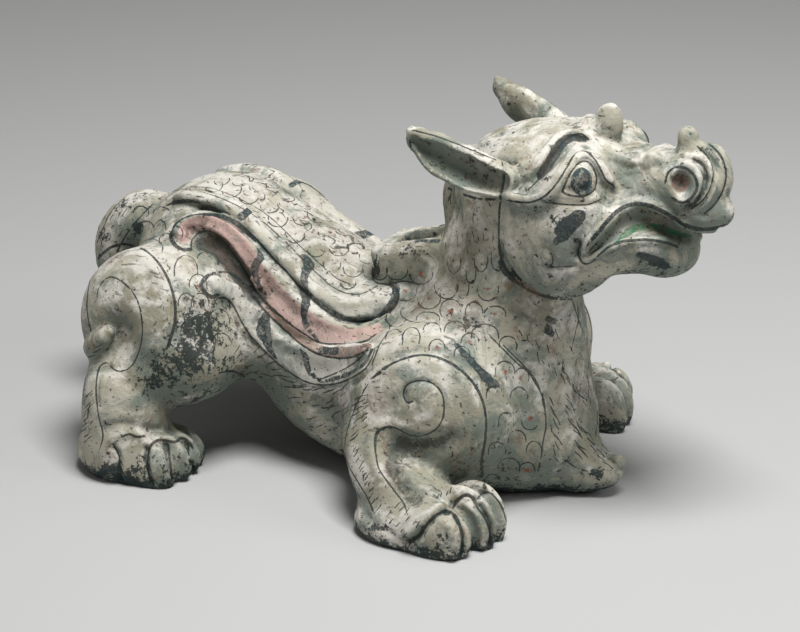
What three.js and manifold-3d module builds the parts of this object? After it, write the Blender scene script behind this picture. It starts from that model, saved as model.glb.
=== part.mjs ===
// A crouching tomb beast in painted earthenware, moulded in one piece.
// Millimetres. X runs from tail to nose, Y to the beast's left, Z up.
import * as THREE from 'three';
import { mergeVertices } from 'three/addons/utils/BufferGeometryUtils.js';
import Module from 'manifold-3d';

// Driving dimensions
const socketX = [14, 46];      // rear and front of the socket in the back
const socketWidth = 26;
const socketFloor = 92;
const cell = 2.8;              // spacing of the grid that the surface is traced on
const traceLow = [-250, -160, -26];
const traceHigh = [260, 160, 280];
const triangleTarget = 9300;

// Forms. A form is a function of a point that gives its distance to the clay, negative inside.
const rad = THREE.MathUtils.degToRad;
const far = (x, y, z) => Math.sqrt(x * x + y * y + z * z);

// A form with the ball that it fits in, so that it is skipped where it is too far to matter.
function within(form, middle, reach) {
  form.middle = middle;
  form.reach = reach;
  return form;
}

// The ball around several balls, each given as [x, y, z, radius].
function ballAround(balls) {
  const middle = [0, 1, 2].map(d => balls.reduce((sum, ball) => sum + ball[d], 0) / balls.length);
  const reach = Math.max(...balls.map(b => far(b[0] - middle[0], b[1] - middle[1], b[2] - middle[2]) + b[3]));
  return [middle, reach];
}

// An egg with its middle at `at`, half sizes `size`, nose up by `pitch` and turned left by `yaw`.
function lump(at, size, pitch = 0, yaw = 0, roll = 0) {
  const turn = new THREE.Matrix4().makeRotationFromEuler(
    new THREE.Euler(rad(roll), rad(-pitch), rad(yaw), 'ZYX'));
  const e = turn.elements;
  return within((x, y, z) => {
    const dx = x - at[0];
    const dy = y - at[1];
    const dz = z - at[2];
    const u = (dx * e[0] + dy * e[1] + dz * e[2]) / size[0];
    const v = (dx * e[4] + dy * e[5] + dz * e[6]) / size[1];
    const w = (dx * e[8] + dy * e[9] + dz * e[10]) / size[2];
    const reach = far(u, v, w);
    const slope = far(u / size[0], v / size[1], w / size[2]);
    return slope > 1e-9 ? reach * (reach - 1) / slope : -Math.min(...size);
  }, at, Math.max(...size));
}

// A smooth line through a few points [x, y, z, value], cut into short straight steps.
function route(points, steps = 6) {
  const line = new THREE.CatmullRomCurve3(
    points.map(p => new THREE.Vector3(p[0], p[1], p[2])), false, 'centripetal');
  const count = (points.length - 1) * steps;
  const out = [];
  for (let i = 0; i <= count; i++) {
    const spot = line.getPoint(i / count);
    const along = i / steps;
    const k = Math.min(Math.floor(along), points.length - 2);
    const t = along - k;
    const ease = t * t * (3 - 2 * t);
    out.push([spot.x, spot.y, spot.z, points[k][3] + (points[k + 1][3] - points[k][3]) * ease]);
  }
  return out;
}

// A round limb along a smooth line, with a radius at each point.
function limb(points, steps = 5) {
  return chain(route(points, steps));
}

// The same along short straight steps [x, y, z, radius].
function chain(stops) {
  return within((x, y, z) => {
    let best = Infinity;
    for (let i = 1; i < stops.length; i++) {
      const a = stops[i - 1];
      const b = stops[i];
      const bx = b[0] - a[0];
      const by = b[1] - a[1];
      const bz = b[2] - a[2];
      const px = x - a[0];
      const py = y - a[1];
      const pz = z - a[2];
      const t = Math.min(Math.max((px * bx + py * by + pz * bz) / (bx * bx + by * by + bz * bz), 0), 1);
      const away = far(px - t * bx, py - t * by, pz - t * bz);
      best = Math.min(best, away - a[3] - t * (b[3] - a[3]));
    }
    return best;
  }, ...ballAround(stops));
}

// A block with its middle at `at`, half sizes `size` and round edges, its front end up by `pitch`.
function block(at, size, edge, pitch = 0) {
  const rise = Math.sin(rad(pitch));
  const run = Math.cos(rad(pitch));
  return within((x, y, z) => {
    const dx = x - at[0];
    const dz = z - at[2];
    const u = Math.abs(dx * run + dz * rise) - size[0] + edge;
    const v = Math.abs(y - at[1]) - size[1] + edge;
    const w = Math.abs(dz * run - dx * rise) - size[2] + edge;
    const outside = far(Math.max(u, 0), Math.max(v, 0), Math.max(w, 0));
    return outside + Math.min(Math.max(u, v, w), 0) - edge;
  }, at, far(...size));
}

// Forms run together over a width of `soft`.
function join(soft, first, ...others) {
  const all = [first, ...others];
  return within((x, y, z) => {
    let best = first(x, y, z);
    for (const form of others) {
      const [mx, my, mz] = form.middle;
      if (far(x - mx, y - my, z - mz) - form.reach > best + soft) continue;
      const here = form(x, y, z);
      const h = Math.max(soft - Math.abs(best - here), 0) / soft;
      best = Math.min(best, here) - h * h * soft / 4;
    }
    return best;
  }, ...ballAround(all.map(form => [...form.middle, form.reach])));
}

// A form with another one dug out of it.
function dig(soft, form, hollow) {
  return within((x, y, z) => {
    const here = form(x, y, z);
    const [mx, my, mz] = hollow.middle;
    if (hollow.reach - far(x - mx, y - my, z - mz) < here - soft) return here;
    const left = -hollow(x, y, z);
    const h = Math.max(soft - Math.abs(here - left), 0) / soft;
    return Math.max(here, left) + h * h * soft / 4;
  }, form.middle, form.reach);
}

// The slope of a form at a point, as a unit vector pointing out of the clay.
function outward(form, [x, y, z]) {
  const h = 0.5;
  const here = form(x, y, z);
  const slope = new THREE.Vector3(form(x + h, y, z) - here, form(x, y + h, z) - here, form(x, y, z + h) - here);
  return slope.normalize();
}

// A smooth line laid on the surface of a form, raised off it by `lift`.
function layOn(form, points, lift = 0, steps = 5) {
  return route(points, steps).map(([x, y, z, value]) => {
    const spot = new THREE.Vector3(x, y, z);
    for (let i = 0; i < 4; i++) spot.addScaledVector(outward(form, spot.toArray()), -form(...spot));
    const up = outward(form, spot.toArray());
    return { spot: spot.addScaledVector(up, lift), up, value };
  });
}

// A round bead that follows a surface, with a radius at each point.
function bead(form, points, lift = 0, steps = 4) {
  return chain(layOn(form, points, lift, steps).map(({ spot, value }) => [...spot, value]));
}

// A flat strip with round edges that follows a surface; its lower edge is raised by `lean` degrees.
function strip(form, points, thick, lift = 0, lean = 0) {
  return leaf(layOn(form, points, lift), thick, lean);
}

// A flat strip through stops that each have a spot, a half width and the way up.
function leaf(stops, thick, lean = 0) {
  const rows = stops.slice(1).map((stop, i) => {
    const last = stops[i];
    const run = stop.spot.clone().sub(last.spot);
    const along = run.clone().normalize();
    const [up, next] = [last.up, stop.up].map(v => v.clone().applyAxisAngle(along, rad(lean)));
    return [...last.spot, ...run, run.lengthSq(), ...up, ...next.sub(up), last.value, stop.value - last.value];
  });
  return within((x, y, z) => {
    let best = Infinity;
    for (const [ax, ay, az, rx, ry, rz, rr, ux, uy, uz, vx, vy, vz, width, widen] of rows) {
      const px = x - ax;
      const py = y - ay;
      const pz = z - az;
      const t = Math.min(Math.max((px * rx + py * ry + pz * rz) / rr, 0), 1);
      const qx = px - t * rx;
      const qy = py - t * ry;
      const qz = pz - t * rz;
      const high = qx * (ux + t * vx) + qy * (uy + t * vy) + qz * (uz + t * vz);
      const side = Math.sqrt(Math.max(qx * qx + qy * qy + qz * qz - high * high, 0));
      const round = Math.min(thick, width + t * widen);
      const over = Math.max(side - (width + t * widen - round), 0);
      best = Math.min(best, Math.sqrt(over * over + high * high) - round);
    }
    return best;
  }, ...ballAround(stops.map(stop => [...stop.spot, stop.value + thick])));
}

// The beast, in the half where y is positive; the other half is its mirror image
const trunk = join(20,
  lump([-122, 0, 108], [62, 64, 63]),
  limb([[-112, 0, 110, 56], [-52, 0, 92, 55], [4, 0, 62, 66], [74, 0, 58, 70]]),
  limb([[-96, 26, 90, 28], [-60, 30, 74, 30], [-20, 30, 46, 32], [30, 24, 36, 34]]));
const neck = limb([[82, 0, 92, 60], [92, 0, 140, 48], [102, 0, 185, 43]]);
const nape = limb([[64, 0, 210, 14], [58, 0, 190, 13], [58, 0, 166, 11]]);
const haunch = join(20, lump([-128, 80, 92], [52, 40, 52]), lump([-108, 78, 76], [38, 34, 30]));
const hindLeg = limb([[-134, 98, 74, 28], [-136, 110, 50, 29], [-134, 114, 24, 29]]);
const hindFoot = join(5,
  lump([-134, 112, 12], [36, 30, 22]),
  lump([-114, 126, 10], [25, 12, 19]),
  lump([-110, 113, 11], [25, 9, 20]),
  lump([-109, 101, 11], [24, 9, 19]),
  lump([-111, 89, 10], [22, 9, 17]));
const shoulder = lump([66, 70, 68], [52, 37, 54]);
const foreLeg = limb([[46, 88, 48, 26], [60, 104, 32, 24], [86, 110, 22, 20]]);
const foreFoot = join(5,
  lump([78, 112, 10], [34, 24, 20]),
  lump([104, 124, 12], [25, 12, 23]),
  lump([113, 108, 13], [24, 10, 26]),
  lump([117, 94, 13], [21, 9, 25]));
const chest = limb([[112, 0, 38, 34], [146, 0, 18, 20], [166, 0, 20, 10]]);
const tail = limb([[-156, 0, 128, 20], [-190, 0, 131, 20], [-207, 0, 110, 20], [-204, 0, 84, 18], [-188, 0, 58, 12]]);
const collar = block([31, 0, 138], [28, 23, 20], 6, 16);
const front = join(30, join(14, trunk, neck), join(10, shoulder, join(8, foreLeg, foreFoot)), chest);
const body = join(24, front, join(10, haunch, join(8, hindLeg, hindFoot)));

// Three strips of the folded wing, each lying over the one below it
const wingLow = strip(body, [[-88, 76, 125, 6], [-72, 57, 110, 9], [-52, 55, 85, 12], [-19, 63, 77, 17],
  [6, 68, 84, 15], [32, 80, 104, 5]], 3.5, 0.5, -12);
const wingMiddle = strip(body, [[-122, 56, 143, 4], [-126, 50, 150, 5], [-115, 44, 155, 7], [-97, 43, 153, 8],
  [-70, 46, 132, 9], [-41, 52, 107, 15], [-4, 58, 97, 13], [16, 60, 103, 9], [28, 46, 112, 4]], 4, 1, -14);
const wingTop = strip(body, [[-143, 27, 162, 4], [-120, 31, 166, 6], [-96, 31, 162, 8], [-63, 39, 138, 10],
  [-31, 46, 117, 11], [-11, 48, 112, 11], [10, 40, 115, 10], [24, 24, 123, 8]], 6, -1, 0);
const wings = join(2, wingLow, wingMiddle, wingTop);

const skull = join(14,
  lump([114, 0, 206], [60, 44, 43], 16),
  lump([142, 26, 229], [30, 19, 16], 10, -12),
  limb([[140, 0, 212, 34], [182, 0, 212, 26], [216, 0, 222, 20]]));
const jaw = join(10,
  limb([[140, 0, 182, 30], [186, 0, 186, 17], [208, 0, 184, 13]]),
  lump([206, 0, 179], [17, 19, 11]));
const cheek = join(12, lump([146, 44, 191], [39, 12, 41]), lump([172, 24, 190], [34, 22, 24]));
const knob = join(4, lump([158, 0, 250], [10, 9, 17], -8), lump([148, 0, 248], [14, 14, 8]));
const nose = join(6,
  lump([216, 0, 226], [19, 26, 19]),
  limb([[210, 0, 252, 7], [223, 0, 245, 8], [233, 0, 228, 9], [234, 0, 208, 9]]),
  lump([224, 0, 208], [16, 22, 11]),
  lump([179, 0, 236], [7, 15, 7]), lump([194, 0, 236], [7, 13, 8]));
const face = join(10, join(14, join(10, skull, jaw), cheek), nose);

const lipTop = [[168, 54, 182, 2], [169, 54, 190, 2.5], [174, 53, 198, 3], [180, 49, 206, 3.5], [184, 36, 212, 3.5],
  [191, 28, 215, 3.5], [200, 26, 215, 3.5], [210, 24, 210, 3.5], [222, 20, 203, 3], [234, 8, 199, 3]];
const lipLow = [[168, 54, 180, 1.5], [178, 52, 188, 2], [186, 48, 193, 2.5], [194, 41, 195, 2.5], [202, 34, 195, 2.5],
  [210, 24, 192, 2.5], [220, 10, 187, 2.5]];
const mouth = bead(face, [[170, 54, 185, 1.5], [178, 52, 194, 4], [186, 45, 201, 7], [193, 37, 205, 8], [201, 30, 205, 8],
  [208, 26, 202, 7], [216, 20, 197, 5], [226, 10, 194, 4], [234, 0, 192, 4]], 1);
const browRoll = [[111, 49, 212, 3], [122, 52, 213, 4], [132, 54, 214, 4.5], [141, 54, 218, 4.5], [148, 52, 226, 4.5],
  [152, 48, 235, 4.5], [155, 40, 242, 4], [159, 34, 245, 4], [165, 34, 240, 3.5], [171, 32, 230, 3], [177, 28, 224, 2]];
const browRim = [[108, 42, 228, 2], [119, 44, 232, 2.5], [129, 43, 239, 3], [133, 34, 245, 3], [135, 23, 249, 3],
  [140, 16, 250, 3], [150, 15, 249, 3], [160, 20, 247, 2.5], [168, 25, 241, 2]];
const browDip = [[120, 48, 221, 3], [130, 50, 229, 4], [138, 47, 237, 4], [143, 36, 245, 4], [149, 27, 248, 3.5], [158, 27, 247, 2.5]];
const eyeRim = [[151, 53, 224, 1.5], [152, 49, 231, 2], [154, 44, 238, 2], [159, 37, 243, 2], [165, 36, 239, 2],
  [169, 37, 231, 2], [168, 46, 225, 2], [160, 51, 222, 1.5], [151, 53, 224, 1.5]];
const eyeHollow = bead(face, [[154, 51, 226, 4], [158, 47, 231, 8], [162, 42, 236, 6]], 2);
const eyeBall = lump([158, 41, 228], [9, 11, 11], 0, -20);
const nostril = lump([220, 27, 233], [8, 7, 9], 0, 35);
const nostrilRim = [[212, 24, 236, 1.5], [215, 19, 241, 2], [222, 17, 242, 2], [228, 19, 237, 2.5], [229, 21, 230, 2.5],
  [225, 24, 222, 2.5], [217, 26, 220, 2]];
const noseRidge = [[216, 12, 246, 2], [225, 12, 246, 2.5], [233, 13, 239, 3], [236, 15, 230, 3], [233, 18, 220, 3], [226, 21, 214, 2]];
const earStops = [[52, 61, 250, 3], [58, 60, 244, 8], [72, 58, 236, 13], [90, 55, 229, 14], [108, 48, 223, 12]];
const earLine = lift => route(earStops).map(([x, y, z, value]) =>
  ({ spot: new THREE.Vector3(x, y + lift, z), up: new THREE.Vector3(-0.1, 0.96, 0.25).normalize(), value: value - lift }));
const ear = dig(2, leaf(earLine(0), 4), leaf(earLine(4), 3.5));

const bare = dig(2.5, dig(3, dig(3, dig(3, face, mouth), eyeHollow), nostril), bead(face, browDip, 1));
const head = join(2.5, bare, eyeBall, bead(face, eyeRim, -1), bead(face, browRoll, 0), bead(face, browRim, -0.5),
  bead(face, lipTop, 0), bead(face, lipLow, 0), bead(face, nostrilRim, 0), bead(face, noseRidge, 0), join(4, knob, ear));

const half = join(3, join(2.5, join(6, body, tail, nape, collar), wings), head);
const beast = (x, y, z) => half(x, Math.abs(y), z);

// The surface is traced on a grid of cubes, each cut into six wedges, so it always closes
const wedges = [[1, 3], [1, 5], [2, 3], [2, 6], [4, 5], [4, 6]].map(([a, b]) => [0, a, b, 7]);

// The form's value at every grid point near the surface; blocks far from it share one value.
function sampleForm(form, low, count, stride) {
  const block = 4;
  const values = new Float32Array(count[0] * count[1] * count[2]);
  const at = (i, j, k) => form(low[0] + i * cell, low[1] + j * cell, low[2] + k * cell);
  const span = (start, axis) => Math.min(start + block, count[axis]);
  for (let k0 = 0; k0 < count[2]; k0 += block) {
    for (let j0 = 0; j0 < count[1]; j0 += block) {
      for (let i0 = 0; i0 < count[0]; i0 += block) {
        const middle = at(i0 + block / 2, j0 + block / 2, k0 + block / 2);
        const distant = Math.abs(middle) > block * cell * 1.6;
        for (let k = k0; k < span(k0, 2); k++) {
          for (let j = j0; j < span(j0, 1); j++) {
            for (let i = i0; i < span(i0, 0); i++) {
              values[i + j * stride[1] + k * stride[2]] = distant ? middle : at(i, j, k) || 1e-5;
            }
          }
        }
      }
    }
  }
  return values;
}

function traceSurface(form, low, high) {
  const count = low.map((v, i) => Math.ceil((high[i] - v) / cell) + 1);
  const stride = [1, count[0], count[0] * count[1]];
  const values = sampleForm(form, low, count, stride);
  const corner = [0, 1, 2, 3, 4, 5, 6, 7].map(c => (c & 1) * stride[0] + (c >> 1 & 1) * stride[1] + (c >> 2) * stride[2]);
  const place = n => [n % count[0], Math.floor(n / stride[1]) % count[1], Math.floor(n / stride[2])];
  const points = [];
  const triangles = [];
  const seen = new Map();
  const pointOn = (a, b) => {
    const key = a < b ? a * 4194304 + (b - a) : b * 4194304 + (a - b);
    if (!seen.has(key)) {
      const t = values[a] / (values[a] - values[b]);
      const p = place(a);
      const q = place(b);
      seen.set(key, points.length / 3);
      for (let d = 0; d < 3; d++) points.push(low[d] + (p[d] + t * (q[d] - p[d])) * cell);
    }
    return seen.get(key);
  };
  for (let k = 0; k < count[2] - 1; k++) {
    for (let j = 0; j < count[1] - 1; j++) {
      for (let i = 0; i < count[0] - 1; i++) {
        const base = i + j * stride[1] + k * stride[2];
        let inside = 0;
        for (const c of corner) inside += values[base + c] < 0 ? 1 : 0;
        if (inside === 0 || inside === 8) continue;
        for (const wedge of wedges) traceWedge(wedge.map(c => base + corner[c]), values, place, pointOn, triangles);
      }
    }
  }
  return { points: new Float64Array(points), triangles };
}

// The one or two triangles where the surface crosses a wedge, facing out of the clay.
function traceWedge(nodes, values, place, pointOn, triangles) {
  const inner = nodes.filter(n => values[n] < 0);
  const outer = nodes.filter(n => values[n] >= 0);
  if (inner.length === 0 || outer.length === 0) return;
  const [a, b, c] = nodes.slice(1).map(n => {
    const p = place(n);
    const q = place(nodes[0]);
    return [p[0] - q[0], p[1] - q[1], p[2] - q[2]];
  });
  const handed = a[0] * (b[1] * c[2] - b[2] * c[1]) - a[1] * (b[0] * c[2] - b[2] * c[0]) + a[2] * (b[0] * c[1] - b[1] * c[0]);
  const order = [...inner, ...outer].map(n => nodes.indexOf(n));
  let swaps = 0;
  for (let i = 0; i < 4; i++) for (let j = i + 1; j < 4; j++) swaps += order[i] > order[j] ? 1 : 0;
  const flip = (handed > 0) !== (swaps % 2 === 0);
  const add = (p, q, r) => triangles.push(p, flip ? r : q, flip ? q : r);
  if (inner.length === 1) {
    add(...outer.map(n => pointOn(inner[0], n)));
  } else if (inner.length === 3) {
    add(...inner.map(n => pointOn(n, outer[0])));
  } else {
    const ring = [pointOn(inner[0], outer[0]), pointOn(inner[0], outer[1]), pointOn(inner[1], outer[1]), pointOn(inner[1], outer[0])];
    add(ring[0], ring[1], ring[2]);
    add(ring[0], ring[2], ring[3]);
  }
}

// Each point of the traced surface is moved along the slope of the form onto its surface.
function settle(form, points) {
  const h = 0.2;
  for (let i = 0; i < points.length; i += 3) {
    const [x, y, z] = [points[i], points[i + 1], points[i + 2]];
    const here = form(x, y, z);
    const slope = [form(x + h, y, z) - here, form(x, y + h, z) - here, form(x, y, z + h) - here].map(v => v / h);
    const step = here / Math.max(slope[0] ** 2 + slope[1] ** 2 + slope[2] ** 2, 0.25);
    const reach = Math.max(-cell / 3, Math.min(cell / 3, step));
    for (let d = 0; d < 3; d++) points[i + d] -= slope[d] * reach;
  }
}

// The summed squared distances to planes, kept as the ten numbers of a symmetric 4 by 4 matrix.
function addPlane(quadrics, at, [a, b, c, d], weight) {
  const q = [a * a, a * b, a * c, a * d, b * b, b * c, b * d, c * c, c * d, d * d];
  for (let i = 0; i < 10; i++) quadrics[at * 10 + i] += q[i] * weight;
}

// The spot where two points are best merged, and what the merge costs.
function mergeSpot(quadrics, points, a, b) {
  const q = new Array(10);
  for (let i = 0; i < 10; i++) q[i] = quadrics[a * 10 + i] + quadrics[b * 10 + i];
  const cost = (x, y, z) => q[0] * x * x + 2 * q[1] * x * y + 2 * q[2] * x * z + 2 * q[3] * x
    + q[4] * y * y + 2 * q[5] * y * z + 2 * q[6] * y + q[7] * z * z + 2 * q[8] * z + q[9];
  const middle = [0, 1, 2].map(d => (points[a * 3 + d] + points[b * 3 + d]) / 2);
  const length = far(...[0, 1, 2].map(d => points[a * 3 + d] - points[b * 3 + d]));
  const c0 = q[4] * q[7] - q[5] * q[5];
  const c1 = q[2] * q[5] - q[1] * q[7];
  const c2 = q[1] * q[5] - q[2] * q[4];
  const det = q[0] * c0 + q[1] * c1 + q[2] * c2;
  if (Math.abs(det) > 1e-6) {
    const c3 = q[0] * q[7] - q[2] * q[2];
    const c4 = q[1] * q[2] - q[0] * q[5];
    const c5 = q[0] * q[4] - q[1] * q[1];
    const best = [
      -(c0 * q[3] + c1 * q[6] + c2 * q[8]) / det,
      -(c1 * q[3] + c3 * q[6] + c4 * q[8]) / det,
      -(c2 * q[3] + c4 * q[6] + c5 * q[8]) / det];
    if (far(...best.map((v, d) => v - middle[d])) < length) return [Math.max(cost(...best), 0), best];
  }
  return [Math.max(cost(...middle), 0) + 1e-6 * length, middle];
}

// A heap of [cost, ...] rows with the cheapest on top.
function pushRow(heap, row) {
  let i = heap.push(row) - 1;
  while (i > 0) {
    const above = (i - 1) >> 1;
    if (heap[above][0] <= row[0]) break;
    heap[i] = heap[above];
    i = above;
  }
  heap[i] = row;
}

function popRow(heap) {
  const top = heap[0];
  const row = heap.pop();
  if (heap.length === 0) return top;
  let i = 0;
  while (2 * i + 1 < heap.length) {
    let below = 2 * i + 1;
    if (below + 1 < heap.length && heap[below + 1][0] < heap[below][0]) below++;
    if (heap[below][0] >= row[0]) break;
    heap[i] = heap[below];
    i = below;
  }
  heap[i] = row;
  return top;
}

// The normal of a triangle, as long as twice its area.
function faceNormal(points, [a, b, c]) {
  const [ux, uy, uz, vx, vy, vz] = [0, 1, 2, 0, 1, 2].map((d, i) => points[(i < 3 ? b : c) * 3 + d] - points[a * 3 + d]);
  return [uy * vz - uz * vy, uz * vx - ux * vz, ux * vy - uy * vx];
}

// Thins a closed mesh out by merging the pairs of points that change its shape the least.
function thinOut({ points, triangles }, target) {
  const total = points.length / 3;
  const faces = [];
  const around = Array.from({ length: total }, () => new Set());
  const quadrics = new Float64Array(total * 10);
  for (let i = 0; i < triangles.length; i += 3) {
    const face = [triangles[i], triangles[i + 1], triangles[i + 2]];
    const normal = faceNormal(points, face);
    const size = far(...normal);
    if (size > 1e-9) {
      const unit = normal.map(v => v / size);
      const offset = -[0, 1, 2].reduce((sum, d) => sum + unit[d] * points[face[0] * 3 + d], 0);
      for (const n of face) addPlane(quadrics, n, [...unit, offset], size);
    }
    for (const n of face) around[n].add(faces.length);
    faces.push(face);
  }
  const stamp = new Int32Array(total);
  const heap = [];
  const offer = (a, b) => {
    const [cost, spot] = mergeSpot(quadrics, points, a, b);
    pushRow(heap, [cost, a, b, stamp[a], stamp[b], spot]);
  };
  for (const [a, b, c] of faces) {
    if (a < b) offer(a, b);
    if (b < c) offer(b, c);
    if (c < a) offer(c, a);
  }
  const neighbours = n => new Set([...around[n]].flatMap(f => faces[f]).filter(other => other !== n));
  const turnsOver = (n, other, spot) => {
    const kept = [0, 1, 2].map(d => points[n * 3 + d]);
    for (const f of around[n]) {
      if (faces[f].includes(other)) continue;
      const before = faceNormal(points, faces[f]);
      for (let d = 0; d < 3; d++) points[n * 3 + d] = spot[d];
      const after = faceNormal(points, faces[f]);
      for (let d = 0; d < 3; d++) points[n * 3 + d] = kept[d];
      const dot = before[0] * after[0] + before[1] * after[1] + before[2] * after[2];
      if (dot < 0.3 * far(...before) * far(...after)) return true;
    }
    return false;
  };
  let left = faces.length;
  while (left > target && heap.length > 0) {
    const [, a, b, stampA, stampB, spot] = popRow(heap);
    if (stamp[a] !== stampA || stamp[b] !== stampB) continue;
    const near = neighbours(a);
    const shared = [...neighbours(b)].filter(n => near.has(n));
    if (shared.length !== 2 || turnsOver(a, b, spot) || turnsOver(b, a, spot)) continue;
    for (let d = 0; d < 3; d++) points[a * 3 + d] = spot[d];
    for (let i = 0; i < 10; i++) quadrics[a * 10 + i] += quadrics[b * 10 + i];
    for (const f of around[b]) {
      if (faces[f].includes(a)) {
        for (const n of faces[f]) if (n !== b) around[n].delete(f);
        faces[f] = null;
        left--;
      } else {
        faces[f] = faces[f].map(n => n === b ? a : n);
        around[a].add(f);
      }
    }
    stamp[b] = -1;
    stamp[a]++;
    for (const n of neighbours(a)) offer(Math.min(a, n), Math.max(a, n));
  }
  const kept = faces.filter(Boolean);
  const numbers = new Map();
  const number = n => {
    if (!numbers.has(n)) numbers.set(n, numbers.size);
    return numbers.get(n);
  };
  const index = kept.flatMap(face => face.map(number));
  const spots = [...numbers.keys()].flatMap(n => [points[n * 3], points[n * 3 + 1], points[n * 3 + 2]]);
  return { points: new Float32Array(spots), triangles: new Uint32Array(index) };
}

const wasm = await Module();
wasm.setup();

function solidOf(points, triangles) {
  return new wasm.Manifold(new wasm.Mesh({ numProp: 3, vertProperties: points, triVerts: triangles }));
}

// A solid box between two corners.
function solidBox(low, high) {
  const box = new THREE.BoxGeometry(high[0] - low[0], high[1] - low[1], high[2] - low[2]);
  box.translate((low[0] + high[0]) / 2, (low[1] + high[1]) / 2, (low[2] + high[2]) / 2);
  box.deleteAttribute('normal');
  box.deleteAttribute('uv');
  const merged = mergeVertices(box);
  return solidOf(merged.attributes.position.array, new Uint32Array(merged.index.array));
}

const traced = traceSurface(beast, traceLow, traceHigh);
settle(beast, traced.points);
const clay = thinOut(traced, triangleTarget);
const ground = solidBox([-300, -200, -60], [300, 200, 0]);
const socket = solidBox([socketX[0], -socketWidth / 2, socketFloor], [socketX[1], socketWidth / 2, socketFloor + 200]);
const solid = solidOf(clay.points, clay.triangles).subtract(ground).subtract(socket);

const { vertProperties, triVerts } = solid.getMesh();
const geometry = new THREE.BufferGeometry();
geometry.setAttribute('position', new THREE.BufferAttribute(vertProperties, 3));
geometry.setIndex(new THREE.BufferAttribute(triVerts, 1));
geometry.computeVertexNormals();
geometry.computeBoundingBox();

const figure = new THREE.Mesh(geometry, new THREE.MeshStandardMaterial({ color: 0xc9c2b0, roughness: 0.85, metalness: 0 }));
figure.name = 'tomb_beast';
figure.position.x = -(geometry.boundingBox.min.x + geometry.boundingBox.max.x) / 2;

const group = new THREE.Group();
group.add(figure);

export default group;
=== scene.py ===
# Tomb beast: a crouching guardian in painted earthenware, moulded in one piece
import math

import bpy
import numpy as np
from mathutils import Matrix, Vector
from mathutils.bvhtree import BVHTree


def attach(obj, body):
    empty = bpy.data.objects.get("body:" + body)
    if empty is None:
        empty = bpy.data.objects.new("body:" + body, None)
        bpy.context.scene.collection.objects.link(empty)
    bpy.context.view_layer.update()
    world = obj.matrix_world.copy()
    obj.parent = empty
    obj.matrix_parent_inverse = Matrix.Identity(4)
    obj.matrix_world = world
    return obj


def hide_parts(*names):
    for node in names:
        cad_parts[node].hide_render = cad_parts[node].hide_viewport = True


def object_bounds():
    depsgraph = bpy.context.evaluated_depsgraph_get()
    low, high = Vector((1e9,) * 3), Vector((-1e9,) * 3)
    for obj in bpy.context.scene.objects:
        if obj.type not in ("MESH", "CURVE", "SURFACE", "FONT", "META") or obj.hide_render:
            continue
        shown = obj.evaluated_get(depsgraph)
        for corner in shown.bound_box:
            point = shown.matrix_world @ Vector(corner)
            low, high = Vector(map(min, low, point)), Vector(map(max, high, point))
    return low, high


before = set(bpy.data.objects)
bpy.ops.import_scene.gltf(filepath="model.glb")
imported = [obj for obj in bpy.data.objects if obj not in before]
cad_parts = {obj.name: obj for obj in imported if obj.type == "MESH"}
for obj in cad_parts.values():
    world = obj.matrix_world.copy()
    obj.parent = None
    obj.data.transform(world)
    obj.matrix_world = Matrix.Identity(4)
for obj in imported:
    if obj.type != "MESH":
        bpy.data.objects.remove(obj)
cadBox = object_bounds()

mm = 0.001


# A form gives the distance to the clay in mm at many points, negative inside. It knows the ball
# that it fits in, so it is skipped for a block of points that it is too far from to matter.
class Form:
    def __init__(self, value, middle, reach, steps=None):
        self.value = value
        self.middle = [float(v) for v in middle]
        self.reach = float(reach)
        self.steps = steps

    def isFar(self, ball, limit):
        if math.dist(ball[0], self.middle) - self.reach - ball[1] > limit:
            return True
        return self.steps is not None and (long(self.steps[0] - ball[0]) - self.steps[1]).min() - ball[1] > limit


def long(v):
    return np.sqrt(np.einsum('...d,...d->...', v, v))


def ballAround(points, radii=0):
    points = np.array(points, float)
    middle = points.mean(0)
    return middle, float((np.linalg.norm(points - middle, axis=1) + radii).max())


# An egg with its middle at `at` and half sizes `size`, nose up by `pitch`, turned left by `yaw`
def lump(at, size, pitch=0, yaw=0):
    at, size = np.array(at, float), np.array(size, float)
    turn = np.array(Matrix.Rotation(math.radians(yaw), 3, 'Z') @ Matrix.Rotation(math.radians(-pitch), 3, 'Y'))

    def value(p, ball):
        q = ((p - at) @ turn) / size
        reach = long(q)
        return reach * (reach - 1) / np.maximum(long(q / size), 1e-9)
    return Form(value, at, size.max())


# A smooth line through a few points [x, y, z, value], cut into short straight steps
def route(points, steps=6):
    p = np.array(points, float)
    ends = np.vstack([2 * p[0] - p[1], p, 2 * p[-1] - p[-2]])
    out = []
    for k in range(len(p) - 1):
        a, b, c, d = ends[k:k + 4, :3]
        ab, bc, cd = [max(float(((v - u) ** 2).sum()) ** 0.25, 1e-3) for u, v in ((a, b), (b, c), (c, d))]
        leave = ((b - a) / ab - (c - a) / (ab + bc) + (c - b) / bc) * bc
        arrive = ((c - b) / bc - (d - b) / (bc + cd) + (d - c) / cd) * bc
        for i in range(steps + (k == len(p) - 2)):
            t = i / steps
            spot = b + leave * t + (3 * (c - b) - 2 * leave - arrive) * t ** 2
            spot = spot + (2 * (b - c) + leave + arrive) * t ** 3
            ease = t * t * (3 - 2 * t)
            out.append([*spot, p[k, 3] + (p[k + 1, 3] - p[k, 3]) * ease])
    return np.array(out)


# The steps of a line that can matter to a block of points, told by their middles and sizes
def nearSteps(middles, halves, radii, ball):
    away = long(middles - ball[0])
    limit = (away - radii).min() + 2 * ball[1]
    return np.nonzero(away - halves - radii <= limit)[0]


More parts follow.
